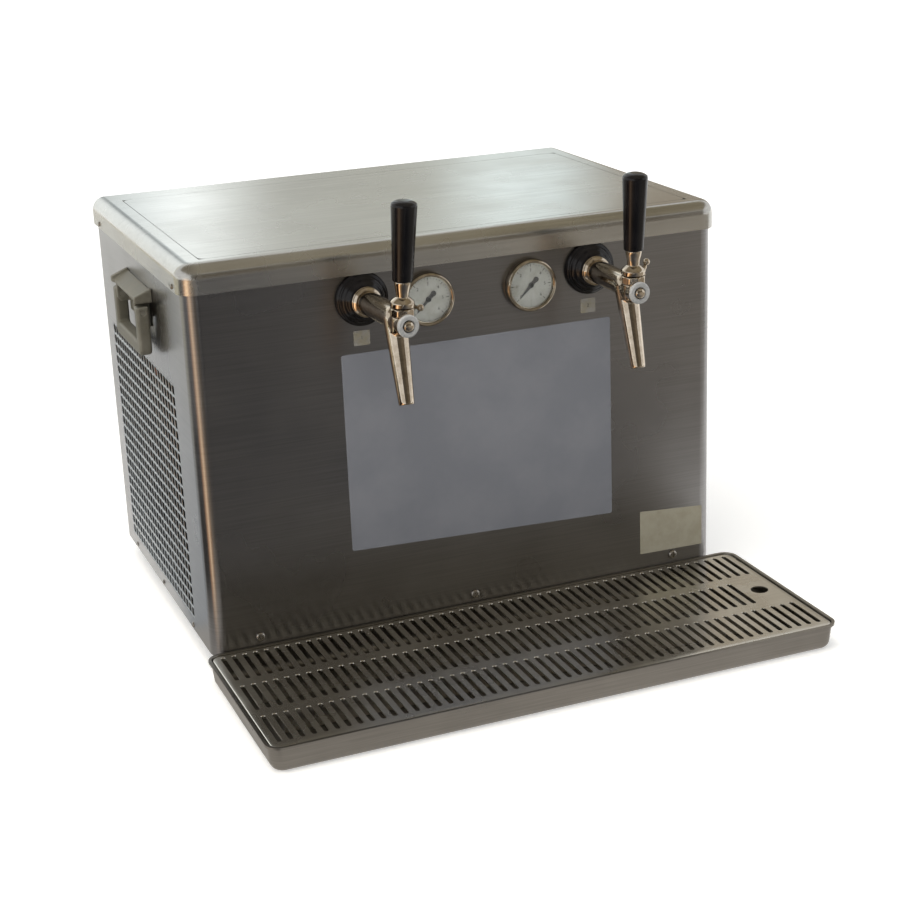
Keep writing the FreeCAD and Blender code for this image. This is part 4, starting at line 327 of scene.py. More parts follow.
def revolve(profile, segments=64, closed=False, flats=None):
    # profile: (radius, height) pairs round z; flats: (how many, across half) for spanner flats
    bm = bmesh.new()
    rings = []
    for radius, height in profile:
        if radius < 1e-6:
            rings.append([bm.verts.new((0, 0, height))])
            continue
        ring = []
        for i in range(segments):
            angle = 2 * math.pi * i / segments
            reach = radius
            if flats:
                part = 2 * math.pi / flats[0]
                reach = min(radius, flats[1] / math.cos((angle % part) - part / 2))
            ring.append(bm.verts.new((reach * math.cos(angle), reach * math.sin(angle), height)))
        rings.append(ring)
    pairs = list(zip(rings, rings[1:]))
    if closed:
        pairs.append((rings[-1], rings[0]))
    for low, high in pairs:
        for i in range(segments):
            j = (i + 1) % segments
            corners = [low[i % len(low)], low[j % len(low)], high[j % len(high)], high[i % len(high)]]
            corners = list(dict.fromkeys(corners))
            if len(corners) > 2:
                bm.faces.new(corners)
    bmesh.ops.recalc_face_normals(bm, faces=bm.faces)
    return bm


def ballMesh(radius, rings=24, segments=48):
    half = [(radius * math.sin(math.pi * i / rings), -radius * math.cos(math.pi * i / rings))
            for i in range(rings + 1)]
    half[0] = (0.0, -radius)
    half[-1] = (0.0, radius)
    return revolve(half, segments)


def rodMesh(radius, start, end, edge=0.3, segments=48):
    return revolve(softCorners([(0, start), (radius, start), (radius, end), (0, end)], edge), segments)


def boxMesh(low, high, edge=0.0):
    bm = bmesh.new()
    bmesh.ops.create_cube(bm, size=1)
    size = Vector(high) - Vector(low)
    middle = (Vector(high) + Vector(low)) / 2
    bmesh.ops.transform(bm, matrix=Matrix.Translation(middle) @ Matrix.Diagonal((*size, 1)), verts=bm.verts)
    if edge:
        bmesh.ops.bevel(bm, geom=list(bm.edges), offset=edge, segments=3, profile=0.5, affect="EDGES")
    bmesh.ops.recalc_face_normals(bm, faces=bm.faces)
    return bm


def place(bm, *matrices):
    whole = Matrix.Identity(4)
    for matrix in matrices:
        whole = whole @ matrix
    bmesh.ops.transform(bm, matrix=whole, verts=bm.verts)
    return bm


def turned(degrees, axis):
    return Matrix.Rotation(math.radians(degrees), 4, axis)


def shift(x=0, y=0, z=0):
    return Matrix.Translation((x, y, z))


alongFront = turned(90, "X")  # carries +z to -y, the way out of the front panel
atOrigin = (0, 0, 0)  # for a cell that is copied later
sharpestFold = 32  # degrees; a sharper edge is shaded as an edge


def joinMeshes(parts):
    # parts: bmeshes in mm, taken into one
    whole = bmesh.new()
    for bm in parts:
        loose = bpy.data.meshes.new("loose")
        bm.to_mesh(loose)
        bm.free()
        whole.from_mesh(loose)
        bpy.data.meshes.remove(loose)
    return whole


def twoColored(first, second):
    # both as one mesh, the second in the object's second material
    for bm, index in ((first, 0), (second, 1)):
        for polygon in bm.faces:
            polygon.material_index = index
    return joinMeshes([first, second])


def shadeByAngle(bm):
    for face in bm.faces:
        face.smooth = True
    for edge in bm.edges:
        edge.smooth = len(edge.link_faces) != 2 or edge.calc_face_angle(0) < math.radians(sharpestFold)


def makeObject(name, bm, materials, middle=cabinetMiddle):
    place(bm, Matrix.Scale(mm, 4), shift(*middle))
    shadeByAngle(bm)
    mesh = bpy.data.meshes.new(name)
    bm.to_mesh(mesh)
    bm.free()
    for material in materials:
        mesh.materials.append(material)
    obj = bpy.data.objects.new(name, mesh)
    bpy.context.collection.objects.link(obj)
    return obj


def finishPiece(obj, body, nodes):
    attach(obj, body)
    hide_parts(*nodes)


def addPiece(name, bm, materials, body, nodes):
    finishPiece(makeObject(name, bm, materials), body, nodes)


def cookedMesh(obj):
    # the mesh that the object's modifiers make; the modifiers are taken off afterwards
    evaluated = obj.evaluated_get(bpy.context.evaluated_depsgraph_get())
    mesh = bpy.data.meshes.new_from_object(evaluated)
    materials = list(obj.data.materials)
    obj.modifiers.clear()
    obj.data = mesh
    if not mesh.materials:
        for material in materials:
            mesh.materials.append(material)


def castSmooth(obj, voxel, rounds):
    # melts overlapping closed shells into one casting with small soft inner corners
    melt = obj.modifiers.new("melt", "REMESH")
    melt.mode = "VOXEL"
    melt.voxel_size = voxel * mm
    melt.use_smooth_shade = True
    soften = obj.modifiers.new("soften", "SMOOTH")
    soften.factor = 0.5
    soften.iterations = rounds
    cookedMesh(obj)
    for polygon in obj.data.polygons:
        polygon.use_smooth = True


# geometry node trees, each built once and used for every piece that repeats

def startTree(name, sockets):
    tree = bpy.data.node_groups.new(name, "GeometryNodeTree")
    for label, kind in sockets:
        tree.interface.new_socket(label, in_out="INPUT", socket_type=kind)
    tree.interface.new_socket("Geometry", in_out="OUTPUT", socket_type="NodeSocketGeometry")
    entry = addNode(tree, "NodeGroupInput")
    return tree, entry.outputs


def endTree(tree, geometry, material):
    whole = addNode(tree, "GeometryNodeRealizeInstances", {}, {"Geometry": geometry})
    welded = addNode(tree, "GeometryNodeMergeByDistance", {}, {
        "Geometry": whole.outputs["Geometry"], "Distance": 0.02 * mm})
    painted = addNode(tree, "GeometryNodeSetMaterial", {}, {
        "Geometry": welded.outputs["Geometry"], "Material": material})
    addNode(tree, "NodeGroupOutput", {}, {"Geometry": painted.outputs["Geometry"]})
    return tree


def cellFieldTree():
    # one cell repeated over a flat field, for the perforated sides and the slotted grid
    tree, given = startTree("cellField", [
        ("Geometry", "NodeSocketGeometry"), ("Cell", "NodeSocketObject"), ("Across", "NodeSocketInt"),
        ("Up", "NodeSocketInt"), ("Pitch Across", "NodeSocketFloat"), ("Pitch Up", "NodeSocketFloat"),
        ("Material", "NodeSocketMaterial")])
    sizes = []
    for count, pitch in (("Across", "Pitch Across"), ("Up", "Pitch Up")):
        sizes.append(mathNode(tree, "MULTIPLY", mathNode(tree, "SUBTRACT", given[count], 1.0), given[pitch]))
    field = addNode(tree, "GeometryNodeMeshGrid", {}, {
        "Size X": sizes[0], "Size Y": sizes[1], "Vertices X": given["Across"], "Vertices Y": given["Up"]})
    cell = addNode(tree, "GeometryNodeObjectInfo", {}, {"Object": given["Cell"]})
    laid = addNode(tree, "GeometryNodeInstanceOnPoints", {}, {
        "Points": field.outputs["Mesh"], "Instance": cell.outputs["Geometry"]})
    return endTree(tree, laid.outputs["Instances"], given["Material"])


def facingTree():
    # one fastener on every point, turned so that its head looks along the point's own direction
    tree, given = startTree("fastenersOnPoints", [
        ("Geometry", "NodeSocketGeometry"), ("Cell", "NodeSocketObject"), ("Seed", "NodeSocketInt"),
        ("Material", "NodeSocketMaterial")])
    facing = addNode(tree, "GeometryNodeInputNamedAttribute", {"data_type": "FLOAT_VECTOR"}, {
        "Name": "facing"})
    aimed = addNode(tree, "FunctionNodeAlignRotationToVector", {"axis": "Z"}, {
        "Vector": facing.outputs["Attribute"]})
    spin = addNode(tree, "FunctionNodeRandomValue", {"data_type": "FLOAT"}, {
        2: 0.0, 3: 3.14, "Seed": given["Seed"]})
    around = addNode(tree, "FunctionNodeAxisAngleToRotation", {}, {
        "Axis": (0, 0, 1), "Angle": spin.outputs[1]})
    both = addNode(tree, "FunctionNodeRotateRotation", {"rotation_space": "LOCAL"}, {
        "Rotation": aimed.outputs["Rotation"], "Rotate By": around.outputs["Rotation"]})
    cell = addNode(tree, "GeometryNodeObjectInfo", {}, {"Object": given["Cell"]})
    laid = addNode(tree, "GeometryNodeInstanceOnPoints", {}, {
        "Points": given["Geometry"], "Instance": cell.outputs["Geometry"],
        "Rotation": both.outputs["Rotation"]})
    return endTree(tree, laid.outputs["Instances"], given["Material"])


def tickTree():
    # bars round part of a circle, for the scale on a gauge
    tree, given = startTree("ticksRoundDial", [
        ("Geometry", "NodeSocketGeometry"), ("Count", "NodeSocketInt"), ("Radius", "NodeSocketFloat"),
        ("Start", "NodeSocketFloat"), ("Step", "NodeSocketFloat"), ("Bar", "NodeSocketVector"),
        ("Material", "NodeSocketMaterial")])
    index = addNode(tree, "GeometryNodeInputIndex").outputs[0]
    angle = mathNode(tree, "MULTIPLY_ADD", index, given["Step"], given["Start"])
    across, up = [mathNode(tree, "MULTIPLY", mathNode(tree, wave, angle), given["Radius"])
                  for wave in ("SINE", "COSINE")]
    spot = addNode(tree, "ShaderNodeCombineXYZ", {}, {"X": across, "Y": up})
    points = addNode(tree, "GeometryNodePoints", {}, {"Count": given["Count"], "Position": spot.outputs[0]})
    turn = addNode(tree, "ShaderNodeCombineXYZ", {}, {"Z": mathNode(tree, "MULTIPLY", angle, -1.0)})
    euler = addNode(tree, "FunctionNodeEulerToRotation", {}, {"Euler": turn.outputs[0]})
    bar = addNode(tree, "GeometryNodeMeshCube", {}, {"Size": given["Bar"]})
    laid = addNode(tree, "GeometryNodeInstanceOnPoints", {}, {
        "Points": points.outputs[0], "Instance": bar.outputs["Mesh"], "Rotation": euler.outputs["Rotation"]})
    return endTree(tree, laid.outputs["Instances"], given["Material"])


def growWithNodes(obj, tree, values):
    modifier = obj.modifiers.new(tree.name, "NODES")
    modifier.node_group = tree
    names = {item.name: item.identifier for item in tree.interface.items_tree
             if item.item_type == "SOCKET" and item.in_out == "INPUT"}
    for name, value in values.items():
        modifier[names[name]] = value
    cookedMesh(obj)
    return obj


def emptyMesh(name, points=()):
    mesh = bpy.data.meshes.new(name)
    mesh.from_pydata([Vector(point) * mm for point, way in points], [], [])
    if points:
        mesh.attributes.new("facing", "FLOAT_VECTOR", "POINT")
        for i, (point, way) in enumerate(points):
            mesh.attributes["facing"].data[i].vector = way
    obj = bpy.data.objects.new(name, mesh)
    bpy.context.collection.objects.link(obj)
    return obj


def takeMesh(obj, *matrices):
    # the object's mesh as a bmesh in mm, moved, and the object thrown away
    bm = bmesh.new()
    bm.from_mesh(obj.data)
    bmesh.ops.transform(bm, matrix=Matrix.Scale(1 / mm, 4), verts=bm.verts)
    place(bm, *matrices)
    bpy.data.objects.remove(obj)
    return bm


cellField = cellFieldTree()
fasteners = facingTree()
ticks = tickTree()
print("node trees built")


def plainText(words, size, thick):
    # lettering as a closed mesh in mm, flat in xy with its middle at the origin
    data = bpy.data.curves.new("letters", "FONT")
    data.body = words
    data.size = size
    data.align_x = "CENTER"
    data.align_y = "CENTER"
    data.extrude = thick / 2
    data.resolution_u = 3
    obj = bpy.data.objects.new("letters", data)
    bpy.context.collection.objects.link(obj)
    mesh = bpy.data.meshes.new_from_object(obj.evaluated_get(bpy.context.evaluated_depsgraph_get()))
    bm = bmesh.new()
    bm.from_mesh(mesh)
    bmesh.ops.remove_doubles(bm, verts=bm.verts, dist=0.001)
    bmesh.ops.recalc_face_normals(bm, faces=bm.faces)
    bpy.data.objects.remove(obj)
    bpy.data.meshes.remove(mesh)
    return bm


def plateMesh(outline, thick, hole=None, edge=0.0):
    # a flat plate from z 0 down to -thick; outline and hole are rings with the same number of points
    bm = bmesh.new()

    def ring(points, height, grow=0.0):
        middle = Vector((sum(p[0] for p in points), sum(p[1] for p in points))) / len(points)
        spots = [Vector(p) + (Vector(p) - middle).normalized() * grow for p in points]
        return [bm.verts.new((*spot, height)) for spot in spots]

    def wall(first, second):
        for i in range(len(first)):
            j = (i + 1) % len(first)
            bm.faces.new((first[i], first[j], second[j], second[i]))

    outside = [ring(outline, 0, -edge), ring(outline, -edge), ring(outline, -thick)] if edge else [
        ring(outline, 0), ring(outline, -thick)]
    for high, low in zip(outside, outside[1:]):
        wall(low, high)
    if hole:
        bevel = 0.5
        inside = [ring(hole, 0, bevel), ring(hole, -bevel), ring(hole, -thick)]
        wall(outside[0], inside[0])
        for high, low in zip(inside, inside[1:]):
            wall(high, low)
        wall(inside[-1], outside[-1])
    else:
        bm.faces.new(outside[0])
        bm.faces.new(outside[-1])
    bmesh.ops.recalc_face_normals(bm, faces=bm.faces)
    return bm


def superRing(halfWide, halfTall, corner, steps=3):
    # a rectangle with round corners, as points that run anticlockwise
    points = []
    for turn, (signX, signY) in enumerate(((1, 1), (-1, 1), (-1, -1), (1, -1))):
        centre = Vector((signX * (halfWide - corner), signY * (halfTall - corner)))
        for step in range(steps + 1):
            angle = math.radians(90 * turn + 90 * step / steps)
            points.append(centre + Vector((math.cos(angle), math.sin(angle))) * corner)
    return points


# taps

tapSpots = {"left": -99.5, "right": 127.5}
# the left tap hangs a little askew, turned about the collar's face and drawn out clear of it
tapFrame = {"panel": -174.0, "height": 342.3, "collarFace": 19.5, "swing": 4.0, "lean": 2.5, "backOff": 0.867}


def tapMatrix(side, tilted=True):
    base = shift(tapSpots[side], tapFrame["panel"], tapFrame["height"])
    if tilted and side == "left":
        face = tapFrame["collarFace"]
        turn = turned(tapFrame["swing"], "Z") @ turned(tapFrame["lean"], "Y")
        base = base @ shift(y=-face - tapFrame["backOff"]) @ turn @ shift(y=face)
    return base


rosetteShape = {"radius": 25.0, "depth": 13.0, "face": 14.5, "bore": 8.3, "flat": 22.4}


def rosetteMesh(shape):
    rim, deep, face = shape["radius"], shape["depth"], shape["face"]
    profile = [
        (shape["bore"], 0), (rim, 0), (rim, deep * 0.22), (rim - 1.4, deep * 0.36),
        (rim - 3.2, deep * 0.41), (rim - 4.0, deep * 0.56), (rim - 5.6, deep * 0.68),
        (rim - 7.4, deep * 0.74), (face + 1.2, deep * 0.92), (face - 0.6, deep), (shape["bore"], deep)]
    bm = revolve(softCorners(profile, 1.6, 4, True), 96, True)
    place(bm, alongFront)
    bmesh.ops.remove_doubles(bm, verts=bm.verts, dist=0.001)
    cut = bmesh.ops.bisect_plane(bm, geom=list(bm.verts) + list(bm.edges) + list(bm.faces),
                                 plane_co=(0, 0, shape["flat"]), plane_no=(0, 0, 1), clear_outer=True)
    edges = [item for item in cut["geom_cut"] if isinstance(item, bmesh.types.BMEdge)]
    bmesh.ops.contextual_create(bm, geom=edges)
    bmesh.ops.recalc_face_normals(bm, faces=bm.faces)
    return bm


collarShape = {"start": 13.0, "width": 6.5, "radius": 13.9, "bore": 8.3, "mouth": 11.6}


def collarMesh(shape):
    start, end, radius = shape["start"], shape["start"] + shape["width"], shape["radius"]
    groove = start + 2.6
    profile = [
        (shape["bore"], start), (radius - 0.4, start), (radius, start + 0.8), (radius, groove - 0.4),
        (radius - 0.7, groove), (radius - 0.7, groove + 0.5), (radius - 0.1, groove + 0.9),
        (radius - 0.3, end - 1.6), (shape["mouth"], end), (shape["bore"], end)]
    return place(revolve(softCorners(profile, 0.4, 3, True), 96, True), alongFront)


# radius first, then where the piece starts and ends, or stands, along and above the tap's axis
tapShape = {
    "pipe": (10.95, 19.6, 75.6), "elbow": (10.9, 75.6),
    "spout": {"lean": 17.35, "length": 76.5, "tip": 6.85, "bore": 4.6, "depth": 22.0},
    "head": (10.0, 90.0, -10.0, 4.4), "knuckle": (10.0, 88.0, -4.2),
    "boss": (9.6, 78.0, 101.05, -2.2), "lug": (3.8, 10.1, 77.0, 7.5),
    "voxel": 0.55, "rounds": 7,
}


def tapBodyMesh(shape):
    radius, start, end = shape["pipe"]
    pipe = place(rodMesh(radius, start, end, 0.4, 64), alongFront)
    elbowRadius, reach = shape["elbow"]
    elbow = place(ballMesh(elbowRadius), shift(y=-reach))
    spout = shape["spout"]
    tip, bore, length, deep = spout["tip"], spout["bore"], spout["length"], spout["depth"]
    profile = softCorners([
        (0, 0), (elbowRadius, 0), (tip + 0.25, length - 2.5), (tip, length), (bore, length),
        (bore, length - deep), (0, length - deep)], 0.5)
    cone = place(revolve(profile, 64), shift(y=-reach), turned(180 - spout["lean"], "X"))
    radius, reach, low, high = shape["head"]
    head = place(rodMesh(radius, low, high, 0.6, 64), shift(y=-reach))
    radius, reach, height = shape["knuckle"]
    knuckle = place(ballMesh(radius), shift(y=-reach, z=height))
    radius, start, end, height = shape["boss"]
    boss = place(rodMesh(radius, start, end, 0.7, 64), shift(z=height), alongFront)
    radius, end, reach, height = shape["lug"]
    lug = place(rodMesh(radius, 0, end, 0.4, 40), shift(y=-reach, z=height), turned(90, "Y"))
    return joinMeshes([pipe, elbow, cone, head, knuckle, boss, lug])


unionShape = {"radius": 10.9, "low": 4.5, "high": 11.5, "mouth": 6.0, "flats": (8, 10.35), "reach": 90.0}


def unionMesh(shape):
    low, high, radius = shape["low"], shape["high"], shape["radius"]
    profile = [(shape["mouth"], low), (radius - 0.7, low), (radius, low + 1.0), (radius, high - 1.0),
               (radius - 0.7, high), (shape["mouth"], high)]
    bm = revolve(softCorners(profile, 0.35, 3, True), 96, True, shape["flats"])
    return place(bm, shift(y=-shape["reach"]))


leverFrame = {"reach": 90.0, "pivot": 8.0, "lean": 3.3}
leverShape = {"cap": 10.8, "low": 5.2, "shoulder": 9.0, "top": 12.8, "neck": 5.4, "ferrule": 7.3,
              "grip": 27.0, "stem": 2.6, "ball": 5.4, "hollow": 11.8, "hollowSteps": 8}
gripShape = {"low": 27.0, "length": 69.0, "bottom": 8.9, "top": 11.35, "bevel": 3.2, "dome": 1.2}


def leverMatrix(side):
    pivot = shift(y=-leverFrame["reach"], z=leverFrame["pivot"])
    return tapMatrix(side) @ pivot @ turned(leverFrame["lean"], "X")


def leverMesh(shape):
    # the cap is hollowed round the ball's middle, so that it swings clear of the nut
    cap, neck, ferrule, grip = shape["cap"], shape["neck"], shape["ferrule"], shape["grip"]
    hollow, steps = shape["hollow"], shape["hollowSteps"]
    opening = math.acos(shape["low"] / hollow)
    dome = [(hollow * math.sin(opening * i / steps), hollow * math.cos(opening * i / steps))
            for i in range(steps + 1)]
    profile = dome + [
        (cap, shape["low"]), (cap, shape["shoulder"]), (cap - 1.4, shape["shoulder"] + 1.5),
        (neck + 1.6, shape["top"] - 0.4), (neck + 0.1, shape["top"] + 0.4),
        (neck + 0.5, shape["top"] + 5), (ferrule - 0.2, grip - 3.4), (ferrule, grip - 2),
        (ferrule, grip), (0, grip)]
    head = revolve(softCorners(profile, 0.6), 80)
    stem = rodMesh(shape["stem"], 0, hollow + 0.5)
    return joinMeshes([head, stem, ballMesh(shape["ball"])])


def gripMesh(shape):
    low, high, top = shape["low"] + 0.05, shape["low"] + shape["length"], shape["top"]
    bevel = shape["bevel"]
    profile = [
        (0, low), (shape["bottom"] - 0.7, low), (shape["bottom"], low + 0.8), (top, high - bevel),
        (top - 0.5, high - bevel * 0.45), (top - bevel, high + 0.2),
        (top - 2 * bevel, high + shape["dome"] - 0.1), (0, high + shape["dome"])]
    return revolve(softCorners(profile, 1.2, 4), 80)


ringShape = {"radius": 10.0, "start": 101.1, "width": 3.0, "bore": 5.3, "drop": 2.2}
domeShape = {"radius": 4.9, "start": 100.4, "height": 5.6, "drop": 2.2}


def ringMesh(shape):
    start, end, radius = shape["start"], shape["start"] + shape["width"], shape["radius"]
    profile = [
        (shape["bore"], start), (radius - 0.2, start), (radius, start + 0.5), (radius, end - 0.9),
        (radius - 1.0, end), (shape["bore"] + 0.8, end), (shape["bore"], end - 0.6)]
    bm = revolve(softCorners(profile, 0.5, 4, True), 80, True)
    return place(bm, shift(z=-shape["drop"]), alongFront)


def domeMesh(shape):
    start, radius, height = shape["start"], shape["radius"], shape["height"]
    profile = [
        (0, start), (radius, start), (radius, start + height * 0.55),
        (radius * 0.86, start + height * 0.84), (radius * 0.45, start + height * 0.98),
        (0, start + height)]
    return place(revolve(softCorners(profile, 0.9, 4), 56), shift(z=-shape["drop"]), alongFront)


flowShape = {"hub": 3.2, "start": 10.4, "end": 18.0, "arm": 1.8, "long": 15.3, "ball": 3.2, "inset": 1.6,
             "reach": 77.0, "height": 7.5, "angles": {"left": 80.0, "right": 30.0}}


def flowMatrix(side):
    return tapMatrix(side) @ shift(y=-flowShape["reach"], z=flowShape["height"]) @ turned(
        flowShape["angles"][side], "X")


def flowMesh(shape):
    along, thin, long = shape["end"] - shape["inset"], shape["arm"], shape["long"]
    hub = place(rodMesh(shape["hub"], shape["start"], shape["end"], 0.7), turned(90, "Y"))
    profile = [
        (0, 0), (thin + 0.5, 0), (thin + 0.1, 4), (thin - 0.1, long - 3), (thin + 0.2, long), (0, long)]
    arm = place(revolve(softCorners(profile, 0.8), 32), shift(x=along))
    end = place(ballMesh(shape["ball"], 16, 32), shift(x=along, z=long))
    return joinMeshes([hub, arm, end])


def buildTaps():
    phenolic = [plastic["blackPhenolic"]]
    shared = {"tapCollars": [], "unionNuts": [], "frontRings": [], "valveDomes": []}
    for side in tapSpots:
        there, level, swung = tapMatrix(side), tapMatrix(side, False), leverMatrix(side)
        addPiece(side + "Rosette", place(rosetteMesh(rosetteShape), level), phenolic,
                 "cabinet", [side + "_rosette"])
        tap = makeObject(side + "TapBody", place(tapBodyMesh(tapShape), there), [chrome])
        castSmooth(tap, tapShape["voxel"], tapShape["rounds"])
        finishPiece(tap, "cabinet", [side + "_tap_body"])
        addPiece(side + "TapLever", place(leverMesh(leverShape), swung), [chrome],
                 side + "_lever", [side + "_tap_lever"])
        addPiece(side + "LeverGrip", place(gripMesh(gripShape), swung), phenolic,
                 side + "_lever", [side + "_lever_grip"])
        addPiece(side + "FlowLever", place(flowMesh(flowShape), flowMatrix(side)), [chrome],
                 side + "_flow_control", [side + "_flow_lever"])
        shared["tapCollars"].append(place(collarMesh(collarShape), level))
        shared["unionNuts"].append(place(unionMesh(unionShape), there))
        shared["frontRings"].append(place(ringMesh(ringShape), there))
        shared["valveDomes"].append(place(domeMesh(domeShape), there))
    finishes = {
        "tapCollars": ("tap_collars", chrome, "tap_chrome"),
        "unionNuts": ("union_nuts", chrome, "tap_chrome"),
        "frontRings": ("front_rings", plastic["greyAcetal"], "ring_plastic"),
        "valveDomes": ("valve_domes", chrome, "tap_chrome")}
    for name, parts in shared.items():
        node, material, slot = finishes[name]
        addPiece(name, joinMeshes(parts), [material], "cabinet", [node])


buildTaps()
print("taps turned and cast")


# gauges

gaugeSpots = {"left": -36.9, "right": 65.4}
gaugeShape = {"panel": -174.0, "height": 334.3, "case": 22.6, "bezel": 25.0, "depth": 9.0, "face": 21.6,
              "lens": 7.6, "lensInset": 1.6, "lensThick": 1.2, "lensGap": 0.3, "dial": 20.9,
              "dialFace": 4.2}
scaleShape = {"start": 225, "sweep": 270, "large": 7, "between": 5, "radius": 18.6,
              "bar": (0.6, 2.6, 0.06), "fine": (0.32, 1.3, 0.06), "numbers": 14.0, "size": 4.4,
              "thick": 0.06}


def gaugeMatrix(side):
    return shift(gaugeSpots[side], gaugeShape["panel"], gaugeShape["height"])


def bezelMesh(shape):
    deep, rim, face = shape["depth"], shape["bezel"], shape["face"]
    profile = [
        (shape["case"], 0.05), (rim - 0.5, 0.05), (rim, 1.2), (rim, deep - 2.4), (rim - 0.8, deep - 0.6),
        (rim - 2.0, deep), (face + 0.6, deep - 0.1), (face, deep - 0.8), (face, shape["lens"]),
        (shape["case"], shape["lens"])]
    return place(revolve(softCorners(profile, 0.7, 4, True), 128, True), alongFront)


def dialMarks(shape):
    # drawn flat in xy with zero at the start angle, clockwise
    large, between, away = shape["large"], shape["between"], shape["numbers"]
    step = shape["sweep"] / (large - 1)
    marks = []
    for count, bar, turn in (
            (large, shape["bar"], step), ((large - 1) * between + 1, shape["fine"], step / between)):
        radius = shape["radius"] + (shape["bar"][1] - bar[1]) / 2
        drawn = growWithNodes(emptyMesh("dialTicks"), ticks, {
            "Count": count, "Radius": radius * mm, "Start": math.radians(shape["start"]),
            "Step": math.radians(turn), "Bar": [v * mm for v in bar], "Material": plastic["blackEnamel"]})
        marks.append(takeMesh(drawn))
    for i in range(large):
        angle = math.radians(shape["start"] + i * step)
        number = plainText(str(i), shape["size"], shape["thick"])
        marks.append(place(number, shift(away * math.sin(angle), away * math.cos(angle))))
    return joinMeshes(marks)


def dialMesh(shape):
    face, radius = shape["dialFace"], shape["dial"]
    profile = [(0, face - 0.8), (radius, face - 0.8), (radius, face), (0, face)]
    disc = revolve(softCorners(profile, 0.1), 96)
    marks = place(dialMarks(scaleShape), shift(z=face + 0.02))
    return place(twoColored(disc, marks), alongFront)


def lensMesh(shape):
    low, radius = shape["lens"] - shape["lensInset"], shape["case"] - shape["lensGap"]
    high = low + shape["lensThick"]
    return revolve(softCorners([(0, low), (radius, low), (radius, high), (0, high)], 0.2), 96)


pointerShape = {"long": 16.2, "tail": 7.0, "hub": 2.7, "spade": 0.95, "base": 1.5, "tip": 0.35,
                "edge": 0.08, "height": 4.95, "thick": 0.6, "rest": 225.0}


def pointerMesh(shape):
    # needle, neck, domed hub and round spade, pointing up before they are turned
    thick, hub, tail, edge = shape["thick"], shape["hub"], shape["tail"], shape["edge"]
    base, tip, long, end = shape["base"], shape["tip"], shape["long"], hub * shape["spade"]
    needle = plateMesh([(-base, 0), (base, 0), (tip, long), (-tip, long)], thick, edge=edge)
    neck = plateMesh([(-2.0, -tail), (2.0, -tail), (1.5, 0), (-1.5, 0)], thick, edge=edge)
    dome = [(0, -thick), (hub, -thick), (hub, 0.1), (hub * 0.7, 0.45), (0, 0.5)]
    disc = revolve(softCorners(dome, 0.25), 48)
    coin = [(0, -thick), (end, -thick), (end, 0), (0, 0)]
    spade = place(revolve(softCorners(coin, 0.1), 40), shift(y=-tail))
    return place(joinMeshes([needle, neck, disc, spade]), alongFront, shift(z=shape["height"] + thick))


def buildGauges():
    shared = {"gaugeBezels": [], "gaugeDials": [], "gaugeLenses": []}
    for side in gaugeSpots:
        there = gaugeMatrix(side)
        shared["gaugeBezels"].append(place(bezelMesh(gaugeShape), there))
        shared["gaugeDials"].append(place(dialMesh(gaugeShape), there))
        shared["gaugeLenses"].append(place(lensMesh(gaugeShape), there, alongFront))
        spin = turned(pointerShape["rest"], "Y")
        addPiece(side + "GaugePointer", place(pointerMesh(pointerShape), there, spin),
                 [plastic["blackEnamel"]], side + "_pointer", [side + "_gauge_pointer"])
    finishes = {
        "gaugeBezels": ("gauge_bezels", [brassRim], "gauge_brass_chrome"),
        "gaugeDials": ("gauge_dials", [plastic["dialEnamel"], plastic["blackEnamel"]], "dial_white"),
        "gaugeLenses": ("gauge_lenses", [glass], "lens_glass")}
    for name, parts in shared.items():
        node, materials, slot = finishes[name]
        addPiece(name, joinMeshes(parts), materials, "cabinet", [node])


buildGauges()
print("gauges assembled")


# perforated sides

# the holes are drawn a little under size, and a ring's points past cornerFrom go to a cell's corner
grilleShape = {"pitch": 11.05, "hole": 9.2, "under": 0.25, "corner": 1.3, "cornerFrom": 3.9, "across": 23,
               "up": 21, "thick": 1.0, "outside": 261.5, "middleY": 19.15, "middleZ": 150.6}


def squareRound(inner, half, cornerFrom):
    # a square cell's edge, point for point with the ring of its hole
    outer = []
    for p in inner:
        across, up = abs(p.x), abs(p.y)
        corner = min(across, up) > cornerFrom
        outer.append(Vector((
            math.copysign(half, p.x) if corner or across > up else p.x,
            math.copysign(half, p.y) if corner or across <= up else p.y)))
    return outer


def buildGrille(side, sign):
    shape = grilleShape
    reach = shape["hole"] / 2 - shape["under"]
    inner = superRing(reach, reach, shape["corner"], 2)
    outer = squareRound(inner, shape["pitch"] / 2, shape["cornerFrom"])
    cell = makeObject("grilleCell", plateMesh(outer, shape["thick"], inner), [], atOrigin)
    field = growWithNodes(emptyMesh("grilleField"), cellField, {
        "Cell": cell, "Across": shape["across"], "Up": shape["up"], "Pitch Across": shape["pitch"] * mm,
        "Pitch Up": shape["pitch"] * mm, "Material": steel["grille"]})
    bpy.data.objects.remove(cell)
    upright = turned(90 * sign, "Z") @ turned(90, "X")
    bm = takeMesh(field, shift(sign * shape["outside"], shape["middleY"], shape["middleZ"]), upright)
    addPiece(side + "Grille", bm, [steel["grille"]], "cabinet", [side + "_grille"])


for sideName, sideSign in (("left", -1), ("right", 1)):
    buildGrille(sideName, sideSign)
print("side grilles punched")


# slotted grid over the tray

gridShape = {"left": -266.3, "right": 278.8, "front": -372.8, "back": -179.0, "top": 25.0, "thick": 1.5,
             "fold": 5.0, "corner": 8.0, "cornerSteps": 6, "shoulder": 1.2, "pitch": 10.3,
             "slotWide": 4.6, "slotLong": 51.0, "under": 0.02, "edgeFrom": 1.3, "spread": 2.3,
             "cellLong": 58.0, "firstX": -256.3, "rows": ((-209.0, 52), (-273.0, 49), (-337.0, 52)),
             "finger": (258.7, -273.0, 8.5), "fingerSteps": 40, "ribs": (-241.0, -305.0),
             "ribWide": 3.0, "ribEnd": 30.0, "ribFoot": 1.1, "ribInto": 0.2}


